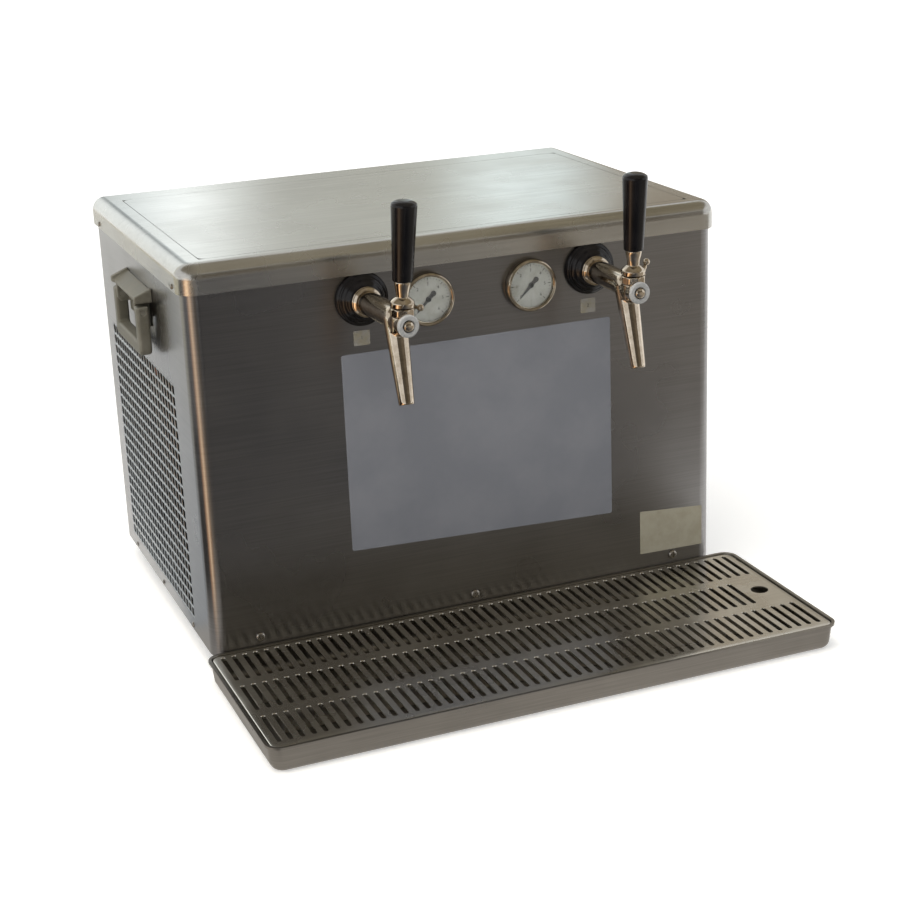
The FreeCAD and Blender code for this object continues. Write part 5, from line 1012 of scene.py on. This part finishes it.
def rectangleMesh(left, right, low, high, thick):
    return plateMesh([(left, low), (right, low), (right, high), (left, high)], thick)


def slotRow(shape, middle, count):
    half, long = shape["pitch"] / 2, shape["cellLong"] / 2
    wide, under = shape["slotWide"] / 2, shape["under"]
    inner = superRing(wide - under, shape["slotLong"] / 2, wide - 2 * under, 4)
    # the cell's edge, point for point with the slot's ring: its sides, and its ends between them
    outer = []
    for p in inner:
        beside = abs(p.x) > shape["edgeFrom"]
        across = math.copysign(half, p.x) if beside else p.x * half / shape["spread"]
        outer.append(Vector((across, math.copysign(long, p.y))))
    cell = makeObject("slotCell", plateMesh(outer, shape["thick"], inner), [], atOrigin)
    row = growWithNodes(emptyMesh("slotRow"), cellField, {
        "Cell": cell, "Across": count, "Up": 1, "Pitch Across": shape["pitch"] * mm, "Pitch Up": 0.0,
        "Material": steel["grid"]})
    bpy.data.objects.remove(cell)
    centre = shape["firstX"] + (count - 1) * shape["pitch"] / 2
    return takeMesh(row, shift(centre, middle, shape["top"]))


def skinRings(levels):
    # faces from ring to ring and back to the first; where two rings meet there is none
    bm = bmesh.new()
    rings = [[bm.verts.new((*p, z)) for p in points] for points, z in levels]
    for first, second in zip(rings, rings[1:] + rings[:1]):
        for i in range(len(first)):
            j = (i + 1) % len(first)
            corners = [first[i], first[j], second[j], second[i]]
            if len({tuple(round(c, 4) for c in v.co) for v in corners}) > 2:
                bm.faces.new(corners)
    return bm


def gridBlank(shape, left, right):
    # the plate beside the short middle row, with its finger hole
    holeX, holeY, radius = shape["finger"]
    steps, thick = shape["fingerSteps"], shape["thick"]
    square, circle = [], []
    halfWide, halfTall = (right - left) / 2, shape["cellLong"] / 2
    middleX = (right + left) / 2
    for i in range(steps):
        angle = 2 * math.pi * (i + 0.5) / steps
        way = Vector((math.cos(angle), math.sin(angle)))
        reach = min(halfWide / max(abs(way.x), 1e-6), halfTall / max(abs(way.y), 1e-6))
        square.append(Vector((middleX, holeY)) + way * reach)
        circle.append(Vector((holeX, holeY)) + way * radius)
    for corner in ((-1, -1), (-1, 1), (1, -1), (1, 1)):
        spot = Vector((middleX + corner[0] * halfWide, holeY + corner[1] * halfTall))
        nearest = min(range(steps), key=lambda i: (square[i] - spot).length)
        square[nearest] = spot
    bm = skinRings([(square, 0), (circle, 0), (circle, -thick), (square, -thick)])
    bmesh.ops.recalc_face_normals(bm, faces=bm.faces)
    return bm


def gridBorder(shape, left, right):
    # the flat border round the slots, its rounded shoulder and the fold that hangs from it
    top, thick, shoulder = shape["top"], shape["thick"], shape["shoulder"]
    low = shape["rows"][-1][0] - shape["cellLong"] / 2
    high = shape["rows"][0][0] + shape["cellLong"] / 2
    wide, deep = shape["right"] - shape["left"], shape["back"] - shape["front"]
    middle = Vector(((shape["right"] + shape["left"]) / 2, (shape["back"] + shape["front"]) / 2))

    def edgeRing(inset):
        corner = max(shape["corner"] - inset, 0.5)
        ring = superRing(wide / 2 - inset, deep / 2 - inset, corner, shape["cornerSteps"])
        return [p + middle for p in ring]

    flat = edgeRing(shoulder + 0.01)
    inside = [Vector((min(max(p.x, left), right), min(max(p.y, low), high))) for p in flat]
    levels = [(inside, top), (flat, top)]
    for turn in (30, 60, 90):
        angle = math.radians(turn)
        levels.append((edgeRing(shoulder * (1 - math.sin(angle))), top - shoulder * (1 - math.cos(angle))))
    levels += [(edgeRing(0), top - shape["fold"]), (edgeRing(thick), top - shape["fold"]),
               (edgeRing(thick), top - thick), (inside, top - thick)]
    bm = skinRings(levels)
    bmesh.ops.remove_doubles(bm, verts=bm.verts, dist=0.001)
    bmesh.ops.recalc_face_normals(bm, faces=bm.faces)
    return bm


def buildGrid(shape):
    top, thick, long, pitch = shape["top"], shape["thick"], shape["cellLong"] / 2, shape["pitch"]
    parts = [slotRow(shape, middle, count) for middle, count in shape["rows"]]
    left = shape["firstX"] - pitch / 2
    right = left + shape["rows"][0][1] * pitch
    for upper, lower in zip(shape["rows"], shape["rows"][1:]):
        strip = rectangleMesh(left, right, lower[0] + long, upper[0] - long, thick)
        parts.append(place(strip, shift(z=top)))
    blank = gridBlank(shape, left + shape["rows"][1][1] * pitch, right)
    parts.append(place(blank, shift(z=top)))
    parts.append(gridBorder(shape, left, right))
    half = shape["ribWide"] / 2
    for y in shape["ribs"]:
        near = (shape["left"] + shape["ribEnd"], y - half, shape["ribFoot"])
        far = (shape["right"] - shape["ribEnd"], y + half, top - thick + shape["ribInto"])
        parts.append(boxMesh(near, far, 0.4))
    whole = joinMeshes(parts)
    bmesh.ops.remove_doubles(whole, verts=whole.verts, dist=0.005)
    addPiece("dripGrid", whole, [steel["grid"]], "drip_grid", ["drip_grid"])


buildGrid(gridShape)
print("drip grid slotted")


# screws

smallScrew = {"head": 2.6, "high": 1.3, "recess": 1.5, "deep": 0.7}
domeScrew = {"head": 4.6, "high": 3.2, "recess": 2.6, "deep": 1.2}


def screwMesh(shape):
    # pan head with a cross recess, its seat at z 0
    head, high, recess, deep = shape["head"], shape["high"], shape["recess"], shape["deep"]
    profile = [
        (0, -0.3), (head, -0.3), (head, high * 0.35), (head * 0.86, high * 0.8), (head * 0.5, high),
        (0, high)]
    bm = revolve(softCorners(profile, high * 0.4), 24)
    arms = []
    for turn in (0, 90):
        bar = boxMesh((-recess, -recess * 0.22, high - deep), (recess, recess * 0.22, high + 0.5))
        arms.append(place(bar, turned(turn, "Z")))
    head = makeObject("screwHead", bm, [steel["screw"]], atOrigin)
    cross = makeObject("screwCross", joinMeshes(arms), [], atOrigin)
    carve = head.modifiers.new("recess", "BOOLEAN")
    carve.operation = "DIFFERENCE"
    carve.solver = "EXACT"
    carve.use_self = True
    carve.object = cross
    cookedMesh(head)
    bpy.data.objects.remove(cross)
    return head


def buildScrews(name, shape, points, seed, node):
    cell = screwMesh(shape)
    field = growWithNodes(emptyMesh(name + "Points", points), fasteners, {
        "Cell": cell, "Seed": seed, "Material": steel["screw"]})
    bpy.data.objects.remove(cell)
    addPiece(name, takeMesh(field), [steel["screw"]], "cabinet", [node])


screwSpots = {"lidX": 265.0, "lidZ": 369.5, "lidY": (-150.0, 149.0),
              "sideX": 261.5, "sideY": (-99.0, 17.0, 133.0), "sideZ": 25.2,
              "frontX": (-216.5, 0.0, 216.5), "frontZ": 34.5, "front": -174.0,
              "backX": (-231.0, 0.0, 231.0), "back": 174.0,
              "handleX": 260.5, "handleY": (-26.0, 26.0), "handleZ": 318.0}


def placeScrews(spots):
    small = []
    for sign in (-1, 1):
        outward = (sign, 0, 0)
        small += [((sign * spots["lidX"], y, spots["lidZ"]), outward) for y in spots["lidY"]]
        small += [((sign * spots["sideX"], y, spots["sideZ"]), outward) for y in spots["sideY"]]
        small += [((sign * spots["handleX"], y, spots["handleZ"]), (-sign, 0, 0)) for y in spots["handleY"]]
    small += [((x, spots["back"], spots["frontZ"]), (0, 1, 0)) for x in spots["backX"]]
    buildScrews("smallScrews", smallScrew, small, 3, "small_screws")
    large = [((x, spots["front"], spots["frontZ"]), (0, -1, 0)) for x in spots["frontX"]]
    buildScrews("frontScrews", domeScrew, large, 8, "front_screws")


placeScrews(screwSpots)
print("screws driven")


# carry handles, moulded

handleLook = {"voxel": 0.8, "rounds": 4}


def mouldedCopy(node, name, body, look):
    # the CAD node's own shape with the small soft edges that a mould leaves
    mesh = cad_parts[node].data.copy()
    bm = bmesh.new()
    bm.from_mesh(mesh)
    bmesh.ops.remove_doubles(bm, verts=bm.verts, dist=0.005 * mm)
    bm.to_mesh(mesh)
    bm.free()
    mesh.materials.clear()
    mesh.materials.append(plastic["oliveAbs"])
    obj = bpy.data.objects.new(name, mesh)
    bpy.context.collection.objects.link(obj)
    castSmooth(obj, look["voxel"], look["rounds"])
    finishPiece(obj, body, [node])


for sideName in ("left", "right"):
    mouldedCopy(sideName + "_handle_base", sideName + "HandleBase", "cabinet", handleLook)
    mouldedCopy(sideName + "_handle_bail", sideName + "HandleBail", sideName + "_bail", handleLook)
print("handles moulded")


# sheets and labels on the front, all bare but for the plain tap numbers

labelShapes = {
    "infoSheet": {"node": "info_sheet", "radius": 2.5,
                  "corners": ((-121.8, 101.8), (149.0, 91.4), (149.0, 291.7), (-121.8, 291.7))},
    "ratingPlate": {"node": "rating_plate", "radius": 0.8,
                    "corners": ((180.3, 40.9), (250.0, 39.7), (250.0, 81.2), (180.3, 86.2))},
}
labelSkin = {"front": -174.0, "thick": 0.3, "numberDrop": 36.5, "numberShift": -1.5, "wide": 15.5,
             "tall": 14.0, "numberSize": 4.6, "ink": 0.05}


def filmMesh(outline, thick):
    return place(plateMesh(outline, thick, edge=0.08), shift(z=thick))


def buildLabels():
    films = {"infoSheet": plastic["vinylFilm"], "ratingPlate": plastic["paperLabel"]}
    thick = labelSkin["thick"]
    stand = shift(y=labelSkin["front"]) @ turned(90, "X")
    for name, shape in labelShapes.items():
        outline = [Vector(p) for p in softCorners(shape["corners"], shape["radius"], 4, True)]
        film = place(filmMesh(outline, thick), stand)
        addPiece(name, film, [films[name]], "cabinet", [shape["node"]])
    parts = []
    for number, x in enumerate(tapSpots.values(), 1):
        half = (labelSkin["wide"] / 2, labelSkin["tall"] / 2)
        tag = filmMesh(superRing(*half, 1.0, 4), thick)
        digit = plainText(str(number), labelSkin["numberSize"], labelSkin["ink"])
        place(digit, shift(z=thick + 0.02))
        spot = shift(x + labelSkin["numberShift"], 0, tapFrame["height"] - labelSkin["numberDrop"])
        parts.append(place(twoColored(tag, digit), spot, stand))
    addPiece("tapNumbers", joinMeshes(parts), [plastic["paleLabel"], plastic["blackEnamel"]],
             "cabinet", ["tap_number_labels"])


buildLabels()
print("labels stuck on")


# feet

footShape = {"spots": ((-213.5, -126), (213.5, -126), (-213.5, 126), (213.5, 126)),
             "top": 17.0, "bottom": 15.0, "high": 20.9, "recess": 7.0, "deep": 7.0, "bore": 3.2}


def footMesh(shape):
    top, bottom, high, recess = shape["top"], shape["bottom"], shape["high"], shape["recess"]
    profile = [
        (recess, 0), (bottom - 1.2, 0), (bottom, 1.4), (top, high - 3), (top, high),
        (shape["bore"], high), (shape["bore"], shape["deep"]), (recess, shape["deep"])]
    return revolve(softCorners(profile, 1.0, 4, True), 64, True)


feet = joinMeshes([place(footMesh(footShape), shift(x, y)) for x, y in footShape["spots"]])
addPiece("rubberFeet", feet, [plastic["footRubber"]], "cabinet", ["rubber_feet"])
print("feet pressed")


# finishes for the CAD nodes that stay as they are

nodeFinish = {
    "cabinet_wrap": steel["panel"], "rear_panel": steel["panel"], "lid_frame": steel["lid"],
    "lid_top_sheet": steel["lid"], "drip_tray": steel["tray"], "chassis_pan": steel["zinc"],
    "foot_bolts": steel["screw"], "shank_nuts": steel["screw"], "handle_pins": plastic["oliveAbs"],
    "tap_shanks": chrome, "left_tap_piston": chrome, "right_tap_piston": chrome,
    "left_gauge_case": brassRim, "right_gauge_case": brassRim,
    "cold_block": metal["castAluminium"], "rear_inlets": metal["satinBrass"],
    "refrigerant_lines": metal["drawnCopper"], "insulation_jacket": plastic["foamBoard"],
    "beer_lines": plastic["linePlastic"], "gas_lines": plastic["linePlastic"],
    "condenser": plastic["blackPaintAndShadeFins"], "fan_rotor": plastic["fanNylon"],
    "compressor": plastic["machineEnamel"], "fan_shroud": plastic["machineEnamel"],
    "fan_motor": plastic["machineEnamel"], "thermostat": plastic["machineEnamel"],
    "thermostat_knob": plastic["blackPhenolic"], "power_inlet": plastic["blackPhenolic"],
}


def paintNodes(finishes):
    for name, material in finishes.items():
        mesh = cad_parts[name].data
        mesh.materials.clear()
        mesh.materials.append(material)


paintNodes(nodeFinish)
print("frame painted")


# floor, world and lamps

studio = {
    "floor": 12.0, "floorColor": "#e6e5e2", "glow": (0.42, 1.0), "whiten": (1.2, 3.5),
    "skyWhite": 1.0, "skyLight": 0.62, "skyColor": "#f4f6f8",
    "lamps": {
        "overhead": {"spot": (-0.5, -0.5, 2.6), "aim": (0, 0, 0.2), "size": 1.8, "power": 46,
                     "color": "#fffaf2"},
        "leftWindow": {"spot": (-2.4, -0.6, 1.4), "aim": (0, 0.1, 0.2), "size": 1.2, "power": 18,
                       "color": "#fff4e6"},
    },
}


def straightCard(near, far, stops):
    # near and far are the card's edges as y and z; a stop is an x, a colour and a strength
    return [((x, *near), (x, *far), color, strength) for x, color, strength in stops]


def fannedCard(middle, reach, height, stops):
    # a fan of ground round a middle point; a stop is a turn in degrees, a colour and a strength
    columns = []
    for turn, color, strength in stops:
        angle = math.radians(turn)
        near, far = [(middle[0] + radius * math.cos(angle), middle[1] + radius * math.sin(angle), height)
                     for radius in reach]
        columns.append((near, far, color, strength))
    return columns


# The room as the metal sees it, in metres: dull ground in front, a warm streak by the left corner,
# a bright and dark wall behind the lid.
cards = {
    "groundByTray": straightCard((-0.27, 0.001), (-0.37, 0.004), (
        (-0.35, "#cfcac3", 1.0), (0.4, "#d6d1cb", 1.0), (1.2, "#dad6d0", 1.0))),
    "groundByTrayEnd": straightCard((-0.30, 0.007), (0.03, 0.007), (
        (-0.39, "#c9c4bd", 1.0), (-0.264, "#c9c4bd", 1.0))),
    "groundAhead": straightCard((-0.37, 0.004), (-4.2, 0.004), (
        (-0.35, "#4c4c51", 1.0), (0.0, "#595a5f", 1.0), (0.3, "#858484", 1.0), (0.65, "#b3aca2", 1.0),
        (1.0, "#beb6aa", 1.0), (1.7, "#a1988b", 1.0), (3.4, "#8d8478", 1.0))),
    "groundLeft": fannedCard((-0.25, -0.07), (0.1, 3.2), 0.006, (
        (100, "#c0c4c7", 1.0), (124, "#babec1", 1.0), (134, "#e8ecee", 1.0), (142, "#5b5148", 1.0),
        (150, "#221c18", 1.0), (189, "#221c18", 1.0), (197, "#dca577", 1.7), (210, "#f0d0aa", 3.1),
        (220, "#c99d74", 2.0), (229, "#a58a6e", 1.2), (241, "#83735f", 1.0), (253, "#66605a", 1.0),
        (264, "#4c4c51", 1.0))),
    "groundFarLeft": straightCard((0.45, 0.008), (3.2, 0.008), (
        (-2.8, "#e6e0c8", 1.1), (-0.72, "#d8d2bc", 1.1))),
    "wallAhead": straightCard((-4.4, 0.0), (-4.4, 2.6), (
        (-2.6, "#6c675f", 0.8), (0.0, "#6e675c", 0.8), (1.5, "#91887a", 0.8), (3.6, "#857a6c", 0.8))),
    "wallBehind": straightCard((2.4, 0.2), (2.4, 2.3), (
        (-1.8, "#d9d4be", 1.1), (-0.9, "#f2f6f6", 1.7), (-0.35, "#eef3f4", 1.6), (0.02, "#9aa3a6", 1.0),
        (0.22, "#e4ebec", 1.6), (0.34, "#f6fbfb", 1.9), (0.54, "#c2c3bc", 1.25), (0.92, "#bfbfb6", 1.25),
        (1.08, "#e2ecec", 1.75), (1.26, "#e2ecec", 1.5), (1.44, "#a59b8b", 1.2), (2.8, "#8f8576", 1.0))),
    "ceiling": straightCard((-4.2, 2.75), (1.5, 2.75), (
        (-3.2, "#968e7f", 1.0), (-0.9, "#968e7f", 1.0), (0.1, "#a1998a", 1.0), (0.5, "#b0a898", 1.0),
        (1.2, "#a0967f", 1.0), (3.4, "#968c7c", 1.0))),
}


def whiteToCamera(tree):
    # one where the camera, a mirror or glass looks, and nought for the light that falls on things
    rays = addNode(tree, "ShaderNodeLightPath").outputs
    first = mathNode(tree, "MAXIMUM", rays["Is Camera Ray"], rays["Is Glossy Ray"])
    return mathNode(tree, "MAXIMUM", first, rays["Is Transmission Ray"])


def buildWorld(look):
    world = bpy.data.worlds.new("studioWorld")
    world.use_nodes = True
    tree = world.node_tree
    tree.nodes.clear()
    seen = addNode(tree, "ShaderNodeBackground", {}, {"Color": (1, 1, 1, 1), "Strength": look["skyWhite"]})
    light = addNode(tree, "ShaderNodeBackground", {}, {
        "Color": hexColor(look["skyColor"]), "Strength": look["skyLight"]})
    mix = addNode(tree, "ShaderNodeMixShader", {}, {
        0: whiteToCamera(tree), 1: light.outputs[0], 2: seen.outputs[0]})
    addNode(tree, "ShaderNodeOutputWorld", {}, {"Surface": mix.outputs[0]})
    bpy.context.scene.world = world


def buildFloor(look):
    material = bpy.data.materials.new("paleFloor")
    material.use_nodes = True
    tree = material.node_tree
    shader = tree.nodes["Principled BSDF"]
    shader.inputs["Base Color"].default_value = hexColor(look["floorColor"])
    shader.inputs["Roughness"].default_value = 0.9
    shader.inputs["Specular IOR Level"].default_value = 0.0
    shader.inputs["Emission Color"].default_value = (1, 1, 1, 1)
    # the far floor glows up to plain white, the near floor keeps the shadow
    spot = addNode(tree, "ShaderNodeTexCoord").outputs["Object"]
    away = addNode(tree, "ShaderNodeVectorMath", {"operation": "LENGTH"}, {0: spot}).outputs["Value"]
    lift = spread(tree, away, *look["whiten"], *look["glow"])
    glow = mathNode(tree, "MULTIPLY", whiteToCamera(tree), lift)
    tree.links.new(glow, shader.inputs["Emission Strength"])
    bm = bmesh.new()
    bmesh.ops.create_grid(bm, x_segments=1, y_segments=1, size=look["floor"] / mm)
    floor = makeObject("paleFloor", bm, [material], atOrigin)


def addLamp(name, lamp):
    data = bpy.data.lights.new(name, "AREA")
    data.shape = "DISK"
    data.size = lamp["size"]
    data.energy = lamp["power"]
    data.color = hexColor(lamp["color"])[:3]
    obj = bpy.data.objects.new(name, data)
    aim = Vector(lamp["aim"]) - Vector(lamp["spot"])
    obj.matrix_world = Matrix.Translation(lamp["spot"]) @ aim.to_track_quat("-Z", "Y").to_matrix().to_4x4()
    obj.visible_glossy = False
    bpy.context.collection.objects.link(obj)


def addCard(name, columns):
    # a glowing sheet that only reflections show, its colour running smoothly from column to column
    material = bpy.data.materials.new(name)
    material.use_nodes = True
    tree = material.node_tree
    tree.nodes.clear()
    shade = addNode(tree, "ShaderNodeAttribute", {"attribute_name": "shade"})
    glow = addNode(tree, "ShaderNodeEmission", {}, {"Color": shade.outputs["Color"], "Strength": 1.0})
    addNode(tree, "ShaderNodeOutputMaterial", {}, {"Surface": glow.outputs[0]})
    points = [point for column in columns for point in column[:2]]
    faces = [(i, i + 1, i + 3, i + 2) for i in range(0, len(points) - 2, 2)]
    mesh = bpy.data.meshes.new(name)
    mesh.from_pydata(points, [], faces)
    mesh.materials.append(material)
    shades = mesh.color_attributes.new("shade", "FLOAT_COLOR", "POINT")
    for i in range(len(points)):
        color, strength = columns[i // 2][2:]
        shades.data[i].color = [v * strength for v in hexColor(color)]
    obj = bpy.data.objects.new(name, mesh)
    bpy.context.collection.objects.link(obj)
    obj.visible_camera = False
    obj.visible_diffuse = False
    obj.visible_transmission = False
    obj.visible_shadow = False


buildWorld(studio)
buildFloor(studio)
for lampName, lampLook in studio["lamps"].items():
    addLamp(lampName, lampLook)
for cardName, cardColumns in cards.items():
    addCard(cardName, cardColumns)
bpy.context.scene.view_settings.view_transform = "Standard"
print("studio lit")
